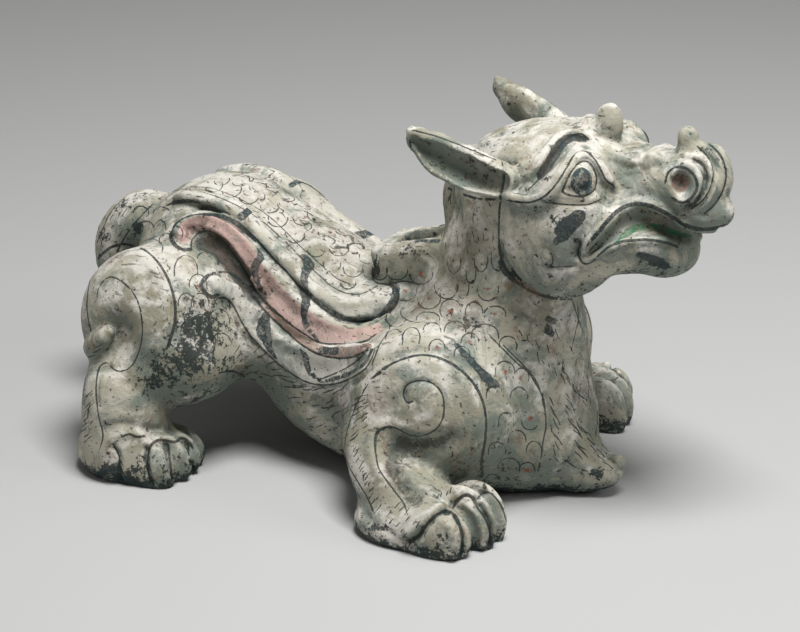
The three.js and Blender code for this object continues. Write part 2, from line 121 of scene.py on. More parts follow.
# A round limb along short straight steps [x, y, z, radius]
def chain(stops):
    stops = np.array(stops, float)
    a, b = stops[:-1, :3], stops[1:, :3] - stops[:-1, :3]
    ra, rb = stops[:-1, 3], stops[1:, 3] - stops[:-1, 3]
    bb = np.maximum((b * b).sum(1), 1e-9)
    middles, halves, radii = a + b / 2, np.sqrt(bb) / 2 + np.abs(rb) / 2, ra + rb / 2

    def value(p, ball):
        k = nearSteps(middles, halves, radii, ball)
        q = p[:, None] - a[k]
        t = np.minimum(np.maximum(np.einsum('nmd,md->nm', q, b[k] / bb[k][:, None]), 0), 1)
        q -= t[..., None] * b[k]
        return (long(q) - ra[k] - t * rb[k]).min(1)
    return Form(value, *ballAround(stops[:, :3], stops[:, 3]), (middles, halves + radii))


def limb(points, steps=5):
    return chain(route(points, steps))


# A block with round edges, its front end up by `pitch`
def block(at, size, edge, pitch=0):
    at, size = np.array(at, float), np.array(size, float)
    rise, run = math.sin(math.radians(pitch)), math.cos(math.radians(pitch))

    def value(p, ball):
        d = p - at
        q = np.stack([d[:, 0] * run + d[:, 2] * rise, d[:, 1], d[:, 2] * run - d[:, 0] * rise], 1)
        q = np.abs(q) - size + edge
        return long(np.maximum(q, 0)) + np.minimum(q.max(1), 0) - edge
    return Form(value, at, float(np.linalg.norm(size)))


# Forms run together over a width of `soft`
def join(soft, first, *others):
    def value(p, ball):
        best = first.value(p, ball)
        for form in others:
            if form.isFar(ball, best.max() + soft):
                continue
            here = form.value(p, ball)
            h = np.maximum(soft - np.abs(best - here), 0) / soft
            best = np.minimum(best, here) - h * h * soft / 4
        return best
    every = (first,) + others
    return Form(value, *ballAround([f.middle for f in every], np.array([f.reach for f in every])))


# A form with another one dug out of it
def dig(soft, form, hollow):
    def value(p, ball):
        here = form.value(p, ball)
        if hollow.isFar(ball, soft - here.min()):
            return here
        left = -hollow.value(p, ball)
        h = np.maximum(soft - np.abs(here - left), 0) / soft
        return np.maximum(here, left) + h * h * soft / 4
    return Form(value, form.middle, form.reach)


def valueAt(form, points):
    return form.value(points, ballAround(points))


# The slope of a form, as unit vectors pointing out of the clay
def outward(form, points, h=0.5):
    here = valueAt(form, points)
    slope = np.stack([valueAt(form, points + np.eye(3)[d] * h) - here for d in range(3)], 1)
    return slope / np.maximum(np.linalg.norm(slope, axis=1, keepdims=True), 1e-9)


# A smooth line laid on the surface of a form, raised off it by `lift`: places, ways up and values
def layOn(form, points, lift=0, steps=5):
    line = route(points, steps)
    spots = line[:, :3]
    for _ in range(4):
        spots = spots - outward(form, spots) * valueAt(form, spots)[:, None]
    up = outward(form, spots)
    return spots + up * lift, up, line[:, 3]


# A round bead that follows a surface, with a radius at each point
def bead(form, points, lift=0, steps=4):
    spots, up, width = layOn(form, points, lift, steps)
    return chain(np.column_stack([spots, width]))


# A flat strip with round edges; its half width changes along it and its lower edge stands out by `lean`
def leaf(spots, up, width, thick, lean=0):
    a, run = spots[:-1], spots[1:] - spots[:-1]
    rr = (run * run).sum(1)
    turned = []
    for ways in (up[:-1], up[1:]):
        turns = [Matrix.Rotation(math.radians(lean), 3, Vector(r)) @ Vector(w) for r, w in zip(run, ways)]
        turned.append(np.array(turns))
    u0, du = turned[0], turned[1] - turned[0]
    w0, dw = width[:-1], width[1:] - width[:-1]

    middles, halves, radii = a + run / 2, np.sqrt(rr) / 2 + np.abs(dw) / 2 + thick, w0 + dw / 2

    def value(p, ball):
        k = nearSteps(middles, halves, radii, ball)
        q = p[:, None] - a[k]
        t = np.minimum(np.maximum(np.einsum('nmd,md->nm', q, run[k] / rr[k][:, None]), 0), 1)
        q -= t[..., None] * run[k]
        high = np.einsum('nmd,nmd->nm', q, u0[k] + t[..., None] * du[k])
        side = np.sqrt(np.maximum(np.einsum('nmd,nmd->nm', q, q) - high ** 2, 0))
        wide = w0[k] + t * dw[k]
        edge = np.minimum(thick, wide)
        over = np.maximum(side - wide + edge, 0)
        return (np.sqrt(over * over + high * high) - edge).min(1)
    return Form(value, *ballAround(spots, width + thick), (middles, halves + radii))


def strip(form, points, thick, lift=0, lean=0):
    return leaf(*layOn(form, points, lift), thick, lean)


# The beast, in the half where y is positive; the other half is its mirror image
def buildBody():
    trunk = join(20,
                 lump([-122, 0, 108], [62, 64, 63]),
                 limb([[-112, 0, 110, 56], [-52, 0, 92, 55], [4, 0, 62, 66], [74, 0, 58, 70]]),
                 limb([[-96, 26, 90, 28], [-60, 30, 74, 30], [-20, 30, 46, 32], [30, 24, 36, 34]]))
    neck = limb([[82, 0, 92, 60], [92, 0, 140, 48], [102, 0, 185, 43]])
    haunch = join(20, lump([-129, 80, 93], [54, 41, 53]), lump([-108, 78, 76], [38, 34, 30]))
    hindLeg = limb([[-134, 98, 74, 28], [-136, 110, 50, 29], [-134, 114, 24, 29]])
    hindFoot = join(5,
                    lump([-134, 112, 12], [36, 30, 22]),
                    lump([-114, 126, 10], [25, 12, 19]),
                    lump([-110, 113, 11], [25, 9, 20]),
                    lump([-109, 101, 11], [24, 9, 19]),
                    lump([-111, 89, 10], [22, 9, 17]))
    shoulder = lump([66, 70, 68], [52, 37, 54])
    foreLeg = limb([[46, 88, 48, 26], [60, 104, 32, 24], [86, 110, 22, 20]])
    foreFoot = join(5,
                    lump([76, 114, 9], [34, 26, 19]),
                    lump([102, 127, 11], [26, 14, 22]),
                    lump([113, 108, 13], [24, 10, 26]),
                    lump([117, 94, 13], [21, 9, 25]))
    chest = limb([[112, 0, 38, 34], [142, 0, 19, 20], [160, 0, 16, 13], [172, 0, 24, 5]])
    front = join(30, join(14, trunk, neck), join(10, shoulder, join(8, foreLeg, foreFoot)), chest)
    whole = join(24, front, join(10, haunch, join(8, hindLeg, hindFoot)))
    # the haunch is hollow inside its crescent; the hock stands up beside a deep crease
    hollow = dig(8, whole, lump([-136, 138, 100], [23, 25, 27]))
    hock = limb([[-162, 110, 80, 5], [-153, 117, 87, 6], [-146, 120, 94, 6], [-141, 120, 98, 4]])
    crease = limb([[-140, 124, 100, 2], [-136, 124, 93, 3.5], [-133, 125, 87, 3.5], [-132, 126, 80, 2]])
    return dig(2.5, join(6, hollow, hock), crease)


# Three strips of the folded wing, each lying over the one below it
def buildWings(body):
    low = strip(body, [[-88, 76, 125, 6], [-72, 57, 110, 9], [-52, 55, 85, 12], [-19, 63, 77, 17],
                       [6, 68, 84, 15], [32, 80, 104, 5]], 4.5, 1, -16)
    middle = strip(body, [[-122, 56, 143, 4], [-126, 50, 150, 5], [-115, 44, 155, 7], [-97, 43, 153, 8],
                          [-70, 46, 132, 9], [-41, 52, 107, 15], [-4, 58, 97, 13], [16, 60, 103, 9],
                          [28, 46, 112, 4]], 5, 2, -20)
    top = strip(body, [[-143, 27, 162, 4], [-120, 31, 166, 6], [-96, 31, 162, 8], [-63, 39, 138, 10],
                       [-31, 46, 117, 11], [-11, 48, 112, 11], [10, 40, 115, 10], [24, 24, 123, 8]], 7, 0, -8)
    return low, middle, top


def buildFace():
    skull = join(14,
                 lump([114, 0, 206], [60, 44, 43], 16),
                 lump([142, 26, 229], [30, 19, 16], 10, -12),
                 limb([[140, 0, 212, 34], [182, 0, 212, 26], [216, 0, 222, 20]]))
    jaw = join(10,
               limb([[140, 0, 182, 30], [186, 0, 184, 18], [210, 0, 186, 11]]),
               lump([199, 0, 175], [22, 20, 15]))
    cheek = join(12, lump([146, 44, 191], [39, 12, 41]), lump([172, 24, 190], [34, 22, 24]))
    nose = join(6,
                lump([216, 0, 226], [19, 26, 19]),
                limb([[212, 0, 240, 5], [212, 0, 254, 6]]),
                limb([[219, 0, 245, 6], [230, 0, 243, 7.5], [235, 0, 230, 8], [232, 0, 219, 8], [235, 0, 208, 9]]),
                lump([224, 0, 208], [16, 22, 11]),
                lump([179, 0, 236], [7, 15, 7]), lump([194, 0, 236], [7, 13, 8]))
    return join(10, join(14, join(10, skull, jaw), cheek), nose)


def buildEar():
    stops = route([[52, 61, 250, 3], [58, 60, 244, 8], [72, 58, 236, 13], [90, 55, 229, 14], [108, 48, 223, 12]])
    way = np.tile(np.array([-0.1, 0.96, 0.25]) / math.sqrt(0.1 ** 2 + 0.96 ** 2 + 0.25 ** 2), (len(stops), 1))
    inner = stops[:, :3] + [0, 5, 0]
    return dig(2, leaf(stops[:, :3], way, stops[:, 3], 5), leaf(inner, way, stops[:, 3] - 4, 4))


def buildHead(face):
    lipTop = [[168, 54, 182, 2], [169, 54, 190, 2.5], [174, 53, 198, 3], [180, 49, 206, 3.5], [184, 36, 212, 3.5],
              [191, 28, 215, 3.5], [200, 26, 215, 3.5], [210, 24, 210, 3.5], [222, 20, 203, 3], [234, 8, 199, 3]]
    lipLow = [[168, 54, 180, 1.5], [178, 52, 188, 2], [186, 48, 193, 2.5], [194, 41, 195, 2.5], [202, 34, 195, 2.5],
              [210, 24, 192, 2.5], [220, 10, 187, 2.5]]
    mouth = bead(face, [[170, 54, 185, 1.5], [178, 52, 194, 4], [186, 45, 201, 7], [193, 37, 205, 8],
                        [201, 30, 205, 8], [208, 26, 202, 7], [216, 20, 197, 5], [226, 10, 194, 4],
                        [234, 0, 192, 4]], 1)
    browRoll = [[111, 49, 212, 3], [122, 52, 213, 4], [132, 54, 214, 4.5], [141, 54, 218, 4.5], [148, 52, 226, 4.5],
                [152, 48, 235, 4.5], [155, 40, 242, 4], [159, 34, 245, 4], [165, 34, 240, 3.5], [171, 32, 230, 3],
                [177, 28, 224, 2]]
    browRim = [[108, 42, 228, 2], [119, 44, 232, 2.5], [129, 43, 239, 3], [133, 34, 245, 3], [135, 23, 249, 3],
               [140, 16, 250, 3], [150, 15, 249, 3], [160, 20, 247, 2.5], [168, 25, 241, 2]]
    browDip = [[120, 48, 221, 3], [130, 50, 229, 4], [138, 47, 237, 4], [143, 36, 245, 4], [149, 27, 248, 3.5],
               [158, 27, 247, 2.5]]
    eyeRim = [[151, 53, 224, 1.5], [152, 49, 231, 2], [154, 44, 238, 2], [159, 37, 243, 2], [165, 36, 239, 2],
              [169, 37, 231, 2], [168, 46, 225, 2], [160, 51, 222, 1.5], [151, 53, 224, 1.5]]
    eyeHollow = bead(face, [[154, 51, 226, 4], [158, 47, 231, 8], [162, 42, 236, 6]], 2)
    eyeBall = lump([158, 41, 228], [9, 11, 11], 0, -20)
    nostril = lump([220, 27, 233], [8, 7, 9], 0, 35)
    nostrilRim = [[212, 24, 236, 1.5], [215, 19, 241, 2], [222, 17, 242, 2], [228, 19, 237, 2.5], [229, 21, 230, 2.5],
                  [225, 24, 222, 2.5], [217, 26, 220, 2]]
    noseRidge = [[216, 12, 246, 2], [225, 12, 246, 2.5], [233, 13, 239, 3], [236, 15, 230, 3], [233, 18, 220, 3],
                 [226, 21, 214, 2]]
    knob = join(4, lump([158, 0, 250], [10, 9, 17], -8), lump([148, 0, 248], [14, 14, 8]))
    bare = dig(2.5, dig(3, dig(3, dig(3, face, mouth), eyeHollow), nostril), bead(face, browDip, 1))
    return join(2.5, bare, eyeBall, bead(face, eyeRim, -1), bead(face, browRoll), bead(face, browRim, -0.5),
                bead(face, lipTop), bead(face, lipLow), bead(face, nostrilRim), bead(face, noseRidge),
                join(4, knob, buildEar()))


body = buildBody()
wings = buildWings(body)
face = buildFace()
nape = limb([[64, 0, 210, 14], [58, 0, 190, 13], [58, 0, 166, 11]])
tail = limb([[-156, 0, 128, 20], [-190, 0, 131, 20], [-207, 0, 110, 20], [-204, 0, 84, 18], [-188, 0, 58, 12]])
collar = block([31, 0, 138], [28, 23, 20], 6, 16)
half = join(3, join(2.5, join(6, body, tail, nape, collar), join(2, *wings)), buildHead(face))

socket = dict(rear=14, front=46, width=26, floor=92)
socketHole = block([(socket["rear"] + socket["front"]) / 2, 0, socket["floor"] + 100],
                   [(socket["front"] - socket["rear"]) / 2, socket["width"] / 2, 100], 1.5)


# The clay as it stands: cut flat underneath, with the socket in its back
def clayValue(p, ball):
    value = dig(0.8, half, socketHole).value(p, ball)
    return np.maximum(value, -p[:, 2])


clay = Form(clayValue, half.middle, half.reach)


# Values of a form at many points, worked out in blocks so that far-off parts are skipped;
# with `h`, also its values a little further along each axis
def inBlocks(form, points, size=20.0, h=0):
    probes = np.vstack([np.zeros(3), np.eye(3) * h]) if h else np.zeros((1, 3))
    out = np.empty((len(points), len(probes)))
    places = np.floor(points / size).astype(np.int64) + 64
    keys = (places[:, 0] << 20) + (places[:, 1] << 10) + places[:, 2]
    order = np.argsort(keys, kind='stable')
    cuts = np.nonzero(np.diff(keys[order]))[0] + 1
    for some in np.split(order, cuts):
        p = points[some]
        middle = (p.min(0) + p.max(0)) / 2
        ball = (middle, float(long(p - middle).max()) + h)
        out[some] = form.value((p[:, None] + probes).reshape(-1, 3), ball).reshape(len(p), -1)
    return out if h else out[:, 0]


# The form's values on a grid over the half where y is positive; blocks far from the clay share one value
def sampleHalf(form, low, count, cell, block=8):
    blocks = [-(-n // block) for n in count]
    values = np.empty([n * block for n in blocks], np.float32)
    step = np.arange(block) * cell
    local = np.stack(np.meshgrid(step, step, step, indexing='ij'), -1).reshape(-1, 3)
    corners = np.stack(np.meshgrid(*[np.arange(n) for n in blocks], indexing='ij'), -1).reshape(-1, 3)
    starts = low + corners * block * cell
    middles = starts + (block - 1) * cell / 2
    rough = inBlocks(form, middles, block * cell * 3)
    reach = (block + 1) * cell * 0.87 * 1.35
    for (i, j, k), start, middle, there in zip(corners * block, starts, middles, rough):
        if abs(there) > reach:
            values[i:i + block, j:j + block, k:k + block] = there
        else:
            here = form.value(start + local, (middle, block * cell * 0.87))
            values[i:i + block, j:j + block, k:k + block] = here.reshape(block, block, block)
    return values[:count[0], :count[1], :count[2]]


# A closed skin of four-sided faces, one point for each cell that the surface crosses
def skin(values, low, cell):
    inside = values < 0
    parts = [(slice(None, -1), slice(1, None))[c] for c in (0, 1)]
    total = np.zeros([n - 1 for n in values.shape], np.int8)
    for i in (0, 1):
        for j in (0, 1):
            for k in (0, 1):
                total += inside[parts[i], parts[j], parts[k]]
    cells = np.argwhere((total > 0) & (total < 8))
    number = np.full(total.shape, -1, np.int32)
    number[tuple(cells.T)] = np.arange(len(cells))
    summed, hits = np.zeros((len(cells), 3)), np.zeros((len(cells), 1))
    for axis in range(3):
        across = [d for d in range(3) if d != axis]
        for a in (0, 1):
            for b in (0, 1):
                start = cells.copy()
                start[:, across[0]] += a
                start[:, across[1]] += b
                end = start.copy()
                end[:, axis] += 1
                v0, v1 = values[tuple(start.T)], values[tuple(end.T)]
                cross = (v0 < 0) != (v1 < 0)
                t = np.where(cross, v0 / np.where(cross, v0 - v1, 1), 0)
                spot = start.astype(float)
                spot[:, axis] += t
                summed[cross] += spot[cross]
                hits[cross] += 1
    points = low + summed / hits * cell
    twin = number[tuple((cells * [1, -1, 1] + [0, total.shape[1] - 1, 0]).T)]
    faces = []
    for axis in range(3):
        first, second = (axis + 1) % 3, (axis + 2) % 3
        cut = [slice(None)] * 3
        cut[axis] = slice(None, -1)
        later = [slice(None)] * 3
        later[axis] = slice(1, None)
        a, b = inside[tuple(cut)], inside[tuple(later)]
        for out, flip in ((a & ~b, False), (~a & b, True)):
            edge = np.argwhere(out)
            keep = (edge[:, first] > 0) & (edge[:, second] > 0)
            edge = edge[keep]
            ring = []
            for da, db in ((0, 0), (1, 0), (1, 1), (0, 1)):
                at = edge.copy()
                at[:, first] -= da
                at[:, second] -= db
                ring.append(number[tuple(at.T)])
            quad = np.stack(ring, 1)
            faces.append(quad[:, ::-1] if flip else quad)
    return points, np.vstack(faces), twin


# Each point is moved along the slope of the form onto its surface
def settle(form, points, cell, rounds=2, h=0.2):
    for _ in range(rounds):
        here = inBlocks(form, points, h=h)
        slope = (here[:, 1:] - here[:, :1]) / h
        step = here[:, 0] / np.maximum((slope ** 2).sum(1), 0.25)
        points = points - slope * np.clip(step, -cell / 2, cell / 2)[:, None]
    return points


# A mesh object from points in metres and faces of equal size
def makeMesh(name, points, faces):
    mesh = bpy.data.meshes.new(name)
    size = faces.shape[1]
    mesh.vertices.add(len(points))
    mesh.vertices.foreach_set("co", points.astype(np.float32).ravel())
    mesh.loops.add(faces.size)
    mesh.loops.foreach_set("vertex_index", faces.astype(np.int32).ravel())
    mesh.polygons.add(len(faces))
    mesh.polygons.foreach_set("loop_start", np.arange(0, faces.size, size, dtype=np.int32))
    mesh.update(calc_edges=True)
    mesh.validate()
    obj = bpy.data.objects.new(name, mesh)
    bpy.context.scene.collection.objects.link(obj)
    return obj


def pointsOf(mesh):
    co = np.empty(len(mesh.vertices) * 3, np.float32)
    mesh.vertices.foreach_get("co", co)
    return co.reshape(-1, 3).astype(float)


def modified(obj):
    mesh = bpy.data.meshes.new_from_object(obj.evaluated_get(bpy.context.evaluated_depsgraph_get()))
    obj.modifiers.clear()
    old, obj.data = obj.data, mesh
    bpy.data.meshes.remove(old)


figure = dict(cell=1.5, low=[-250, 0, -6], high=[260, 158, 280], triangles=192000,
              uneven=[(30, 0.5), (12, 0.35), (5, 0.18)])


def traceClay():
    cell = figure["cell"]
    low = np.array(figure["low"], float)
    low[1] = cell / 2
    count = [int((h - v) / cell) + 1 for v, h in zip(low, figure["high"])]
    values = sampleHalf(clay, low, count, cell)
    whole = np.concatenate([values[:, ::-1], values], 1)
    low[1] = -(count[1] - 0.5) * cell
    points, faces, twin = skin(whole, low, cell)
    left = np.nonzero(points[:, 1] >= -0.01 * cell)[0]
    points[left] = settle(clay, points[left], cell)
    points[left, 2] = np.maximum(points[left, 2], 0)
    points[twin[left]] = points[left] * [1, -1, 1]
    return points, faces



# Soft lumps between -1 and 1, about `size` mm across
def lumpiness(points, size, seed):
    p = points / size
    base = np.floor(p).astype(np.int64)
    t = p - base
    t = t * t * (3 - 2 * t)
    total = np.zeros(len(points))
    for i in (0, 1):
        for j in (0, 1):
            for k in (0, 1):
                c = base + [i, j, k]
                key = (c[:, 0] * 73856093 ^ c[:, 1] * 19349663 ^ c[:, 2] * 83492791) + seed * 2654435
                key = (key ^ (key >> 13)) * 1274126177 & 0x7fffffff
                part = np.prod(np.where([i, j, k], t, 1 - t), axis=1)
                total += part * ((key ^ (key >> 15)) % 10007 / 5003.5 - 1)
    return total


def normalsOf(mesh):
    normals = np.empty(len(mesh.vertices) * 3, np.float32)
    mesh.vertex_normals.foreach_get("vector", normals)
    return normals.reshape(-1, 3).astype(float)


# The photograph was taken from the beast's right, a little in front and from above
view = dict(at=(0.8245, -1.529, 0.7961), turn=28, tilt=22, lens=126, sensor=36, width=800, height=632,
            pixel=0.72)        # a pixel on the beast, in mm


def cameraAxes():
    turn, tilt = math.radians(view["turn"]), math.radians(view["tilt"])
    right = Vector((math.cos(turn), math.sin(turn), 0))
    level = Vector((-math.sin(turn), math.cos(turn), 0))
    ahead = level * math.cos(tilt) - Vector((0, 0, math.sin(tilt)))
    return right, level * math.sin(tilt) + Vector((0, 0, math.cos(tilt))), ahead


def buildCamera():
    right, up, ahead = cameraAxes()
    data = bpy.data.cameras.new("camera")
    data.sensor_width = view["sensor"]
    data.lens = view["lens"]
    data.clip_start = 0.05
    camera = bpy.data.objects.new("camera", data)
    bpy.context.scene.collection.objects.link(camera)
    camera.matrix_world = Matrix((right, up, -ahead)).transposed().to_4x4()
    camera.location = Vector(view["at"]) + Vector((shift, 0, 0))
    bpy.context.scene.camera = camera


def traceBeast():
    points, faces = traceClay()
    print("clay traced:", len(points), "points,", len(faces), "faces")
    shift = (cadBox[0][0] + cadBox[1][0]) / 2 - (points[:, 0].min() + points[:, 0].max()) / 2 * mm
    return makeMesh("painted_beast", points * mm + [shift, 0, 0], faces), shift


beast, shift = traceBeast()
canvas = None


# The clay's points as a painter at the beast's right sees them: in mm, the left half folded over onto the right
def foldClay():
    global canvas, folded, foldedNormals
    bpy.context.view_layer.update()
    canvas = BVHTree.FromObject(beast, bpy.context.evaluated_depsgraph_get())
    points = pointsOf(beast.data) / mm - [shift / mm, 0, 0]
    turned = np.column_stack([np.ones(len(points)), np.where(points[:, 1] < 0, -1, 1), np.ones(len(points))])
    folded, foldedNormals = points * turned, normalsOf(beast.data) * turned


foldClay()


# A stroke is given by places in the picture that the camera takes, in pixels, and lies on the clay that
# the camera sees there. The other half of the beast is carved and painted as its mirror image.
# The place on the clay behind a pixel, in mm, and the way it faces, both with y made positive
def under(u, v):
    right, up, ahead = cameraAxes()
    scale = view["sensor"] / view["lens"] / view["width"]
    way = ahead + right * (u - view["width"] / 2) * scale - up * (v - view["height"] / 2) * scale
    hit, normal, _, _ = canvas.ray_cast(Vector(view["at"]) + Vector((shift, 0, 0)), way.normalized())
    if hit is None or hit.y > 0.012:
        return None
    turned = -1 if hit.y < 0 else 1
    return np.array([hit.x - shift, abs(hit.y), hit.z]) / mm, np.array([normal.x, normal.y * turned, normal.z])


# A smooth stroke through pixels (u, v, width in mm), as one or more lines of close points on the clay
def brushed(pixels, width=1.0, steps=4):
    rows = [[u, v, 0, w[0] if w else width] for u, v, *w in pixels]
    lines, last = [[]], None
    for u, v, _, w in route(rows, steps):
        found = under(u, v)
        if found is None:
            lines.append([])
            last = None
            continue
        if last is not None and math.dist(found[0], last) > 9:
            lines.append([])
        lines[-1].append([*found[0], w, *found[1]])
        last = found[0]
    return [np.array(line) for line in lines if len(line) > 1]


# The points near a line, with their nearest places on it: which points, sideways and along, and the line's width there
def besideLine(line, reach):
    low, high = line[:, :3].min(0) - reach, line[:, :3].max(0) + reach
    k = np.nonzero(((folded > low) & (folded < high)).all(1))[0]
    a, run = line[:-1, :3], line[1:, :3] - line[:-1, :3]
    rr = np.maximum((run * run).sum(1), 1e-6)
    q = folded[k][:, None] - a
    t = np.clip(np.einsum('nmd,md->nm', q, run / rr[:, None]), 0, 1)
    q -= t[..., None] * run
    away = long(q)
    m = away.argmin(1)
    n = np.arange(len(k))
    q, away, t = q[n, m], away[n, m], t[n, m]
    way = run[m] / np.sqrt(rr[m])[:, None]
    facing = (foldedNormals[k] * (line[m, 4:7])).sum(1) > 0.1
    side = (np.cross(foldedNormals[k], way) * q).sum(1)
    beyond = np.abs((q * way).sum(1))
    wide = line[m, 3] + t * (line[m + 1, 3] - line[m, 3])
    keep = facing & (away < reach)
    return k[keep], np.where(side < 0, -away, away)[keep], beyond[keep], wide[keep]


# Carving: (height in mm, half width in mm, pixels); cuts have a height below 0
carvings = [
    # wing: the groove under the top roll, the dished strips and the hollow behind them
    (-2.5, 2.2, [(200, 208), (224, 217), (240, 228), (256, 242), (268, 255), (280, 267), (292, 280), (304, 292),
                 (318, 303), (332, 313), (346, 320), (360, 322), (374, 320), (386, 313)]),
    (1.6, 4.5, [(178, 196), (205, 199), (232, 211), (254, 229), (274, 249), (294, 270), (314, 289), (336, 302),
                (358, 304), (380, 296)]),
    (-2.0, 5.5, [(190, 228), (214, 224), (232, 238), (248, 262), (264, 282), (284, 303), (306, 321), (330, 331),
                 (354, 333)]),
    (1.2, 2.0, [(190, 249), (176, 244), (173, 232), (186, 218), (205, 215)]),
    (-5.0, 5.5, [(204, 242), (215, 246), (226, 257), (238, 272), (248, 286), (256, 297)]),
    (-1.6, 6.0, [(240, 300), (254, 320), (268, 338), (288, 354), (308, 366), (330, 370), (350, 362)]),
    (1.5, 2.0, [(216, 273), (205, 278), (204, 289), (212, 296)]),
    (-2.0, 2.5, [(222, 303), (232, 312), (244, 334), (262, 354), (282, 372), (306, 388), (328, 390), (352, 384),
                 (370, 370)]),
    # haunch and leg
    (-1.8, 4.0, [(154, 252), (168, 266), (176, 284), (180, 304), (180, 322), (176, 340)]),
    (1.0, 4.0, [(118, 252), (138, 256), (154, 270), (164, 290), (168, 312), (164, 334), (154, 352)]),
    (-1.2, 1.6, [(112, 366), (102, 368), (99, 376), (97, 390), (98, 404)]),
    (-2.0, 6.0, [(128, 384), (140, 392), (150, 402)]),
    # hind foot
    (-2.6, 1.8, [(113, 446), (119, 456), (119, 470), (122, 486)]), (-3.0, 2.0, [(147, 448), (146, 464), (151, 484)]),
    (-2.8, 1.8, [(166, 444), (169, 460), (174, 480)]), (-2.4, 1.6, [(184, 442), (189, 456), (194, 472)]),
    (1.6, 2.2, [(112, 442), (122, 434), (136, 434), (148, 444), (158, 438), (172, 438), (182, 436), (191, 442)]),
    (-1.6, 3.0, [(104, 428), (122, 424), (142, 428), (160, 430), (178, 428)]),
    # shoulder and fore limb
    (-1.8, 3.2, [(388, 360), (412, 350), (430, 350), (448, 355), (468, 368), (484, 386), (491, 408), (492, 428), (490, 450)]),
    (1.2, 4.5, [(396, 370), (414, 363), (434, 364), (454, 374), (469, 390), (477, 410), (477, 430)]),
    (-3.2, 8.0, [(448, 440), (430, 446), (410, 446), (396, 450), (392, 464), (400, 482), (414, 498)]),
    (1.8, 3.5, [(440, 424), (430, 430), (414, 430), (400, 425), (386, 424), (374, 430), (371, 445), (373, 460), (380, 476)]),
    (-1.6, 4.0, [(404, 394), (392, 404), (388, 418)]), (1.6, 6.0, [(424, 400), (430, 412), (418, 420)]),
    (-1.2, 1.4, [(414, 401), (407, 402), (404, 394), (408, 385), (420, 381), (435, 385), (443, 396), (444, 408)]),
    # fore foot
    (-3.0, 2.2, [(404, 543), (416, 538), (427, 526), (437, 515), (447, 510)]), (2.0, 3.0, [(408, 533), (420, 524), (430, 513), (442, 505)]),
    (-3.2, 2.0, [(456, 516), (462, 528), (464, 542), (461, 560)]), (-3.2, 2.0, [(480, 506), (488, 520), (492, 534), (489, 550)]),
    (-2.2, 2.0, [(448, 512), (456, 502), (466, 495)]), (-2.0, 2.0, [(474, 500), (484, 493)]),
    (1.8, 3.0, [(440, 520), (450, 528), (455, 542), (452, 556)]), (1.6, 2.6, [(466, 504), (476, 514), (482, 530), (482, 546)]),
    (-1.6, 3.0, [(366, 516), (378, 526), (392, 534)]),
    # chest and the point in front of it
    (-1.0, 2.0, [(500, 342), (520, 361), (533, 375), (545, 398), (550, 420), (547, 446)]),
    (-1.4, 3.0, [(556, 478), (572, 462), (580, 444)]), (-0.6, 1.2, [(572, 424), (590, 446), (608, 460)]),
    (-0.6, 1.2, [(566, 436), (584, 456), (602, 468)]), (-0.6, 1.2, [(580, 420), (596, 440), (612, 454)]),
    # cheek, muzzle and jaw
    (-2.2, 4.0, [(616, 190), (606, 204), (596, 216), (586, 230), (578, 244), (576, 256)]),
    (2.0, 5.0, [(640, 184), (624, 196), (610, 210), (598, 224), (588, 240)]),
    (-1.6, 2.0, [(546, 268), (560, 267), (576, 266)]), (-1.2, 1.8, [(550, 250), (554, 260), (548, 268)]),
    (1.6, 12.0, [(540, 232), (556, 240), (556, 256)]), (-1.2, 2.4, [(502, 205), (502, 230), (504, 256)]),
    (-1.5, 6.0, [(624, 262), (640, 260), (656, 262)]), (1.6, 6.0, [(640, 250), (660, 254), (678, 260)]),
    (-1.4, 1.4, [(579, 242), (577, 252), (580, 262), (587, 265)]),
    # eye and brow
    (-1.2, 1.4, [(561, 193), (565, 182), (572, 171), (580, 162), (588, 160), (594, 166), (598, 176), (597, 187), (592, 195)]),
    (-1.0, 1.4, [(543, 203), (560, 205), (575, 206), (592, 205), (602, 200)]),
    (-2.2, 3.2, [(533, 184), (542, 174), (551, 160), (560, 146), (572, 138), (584, 138)]),
    (1.6, 2.2, [(508, 196), (530, 198), (544, 192), (554, 180), (564, 164), (574, 148), (586, 146), (596, 154), (604, 166), (612, 180)]),
    (1.0, 2.0, [(530, 178), (540, 164), (550, 150), (560, 138), (572, 131), (584, 130), (592, 136)]),
    (1.2, 2.0, [(608, 150), (622, 158), (634, 162)]), (-1.0, 1.6, [(612, 160), (626, 168), (640, 166)]),
    (1.4, 3.0, [(650, 156), (664, 160)]), (-1.2, 2.0, [(628, 176), (644, 170), (656, 166)]),
    # nostril and its ridges
    (-2.5, 5.0, [(679, 181), (681, 186)]),
    (-1.8, 1.3, [(694, 160), (702, 166), (705, 178), (702, 192), (693, 204), (682, 210)]),
    (-1.6, 1.3, [(700, 150), (711, 159), (716, 173), (713, 189), (705, 202), (694, 212)]),
    (-1.2, 1.3, [(708, 146), (721, 158), (726, 174), (723, 191), (714, 206), (704, 216)]),
    (1.0, 1.5, [(697, 152), (707, 160), (711, 174), (708, 190), (699, 203)]),
    # ear, nape and collar
    (-1.5, 5.0, [(424, 148), (446, 162), (468, 174), (484, 184)]),
    (-0.9, 1.1, [(436, 234), (438, 216), (444, 198)]), (-0.9, 1.1, [(440, 238), (443, 218), (449, 200)]),
    (-0.9, 1.1, [(446, 240), (449, 222), (455, 204)]), (-0.7, 1.1, [(452, 240), (455, 224), (460, 206)]),
    (-1.4, 3.0, [(376, 256), (382, 250)]), (-1.2, 2.5, [(402, 246), (408, 245)]), (-1.0, 2.0, [(424, 247), (428, 247)])]


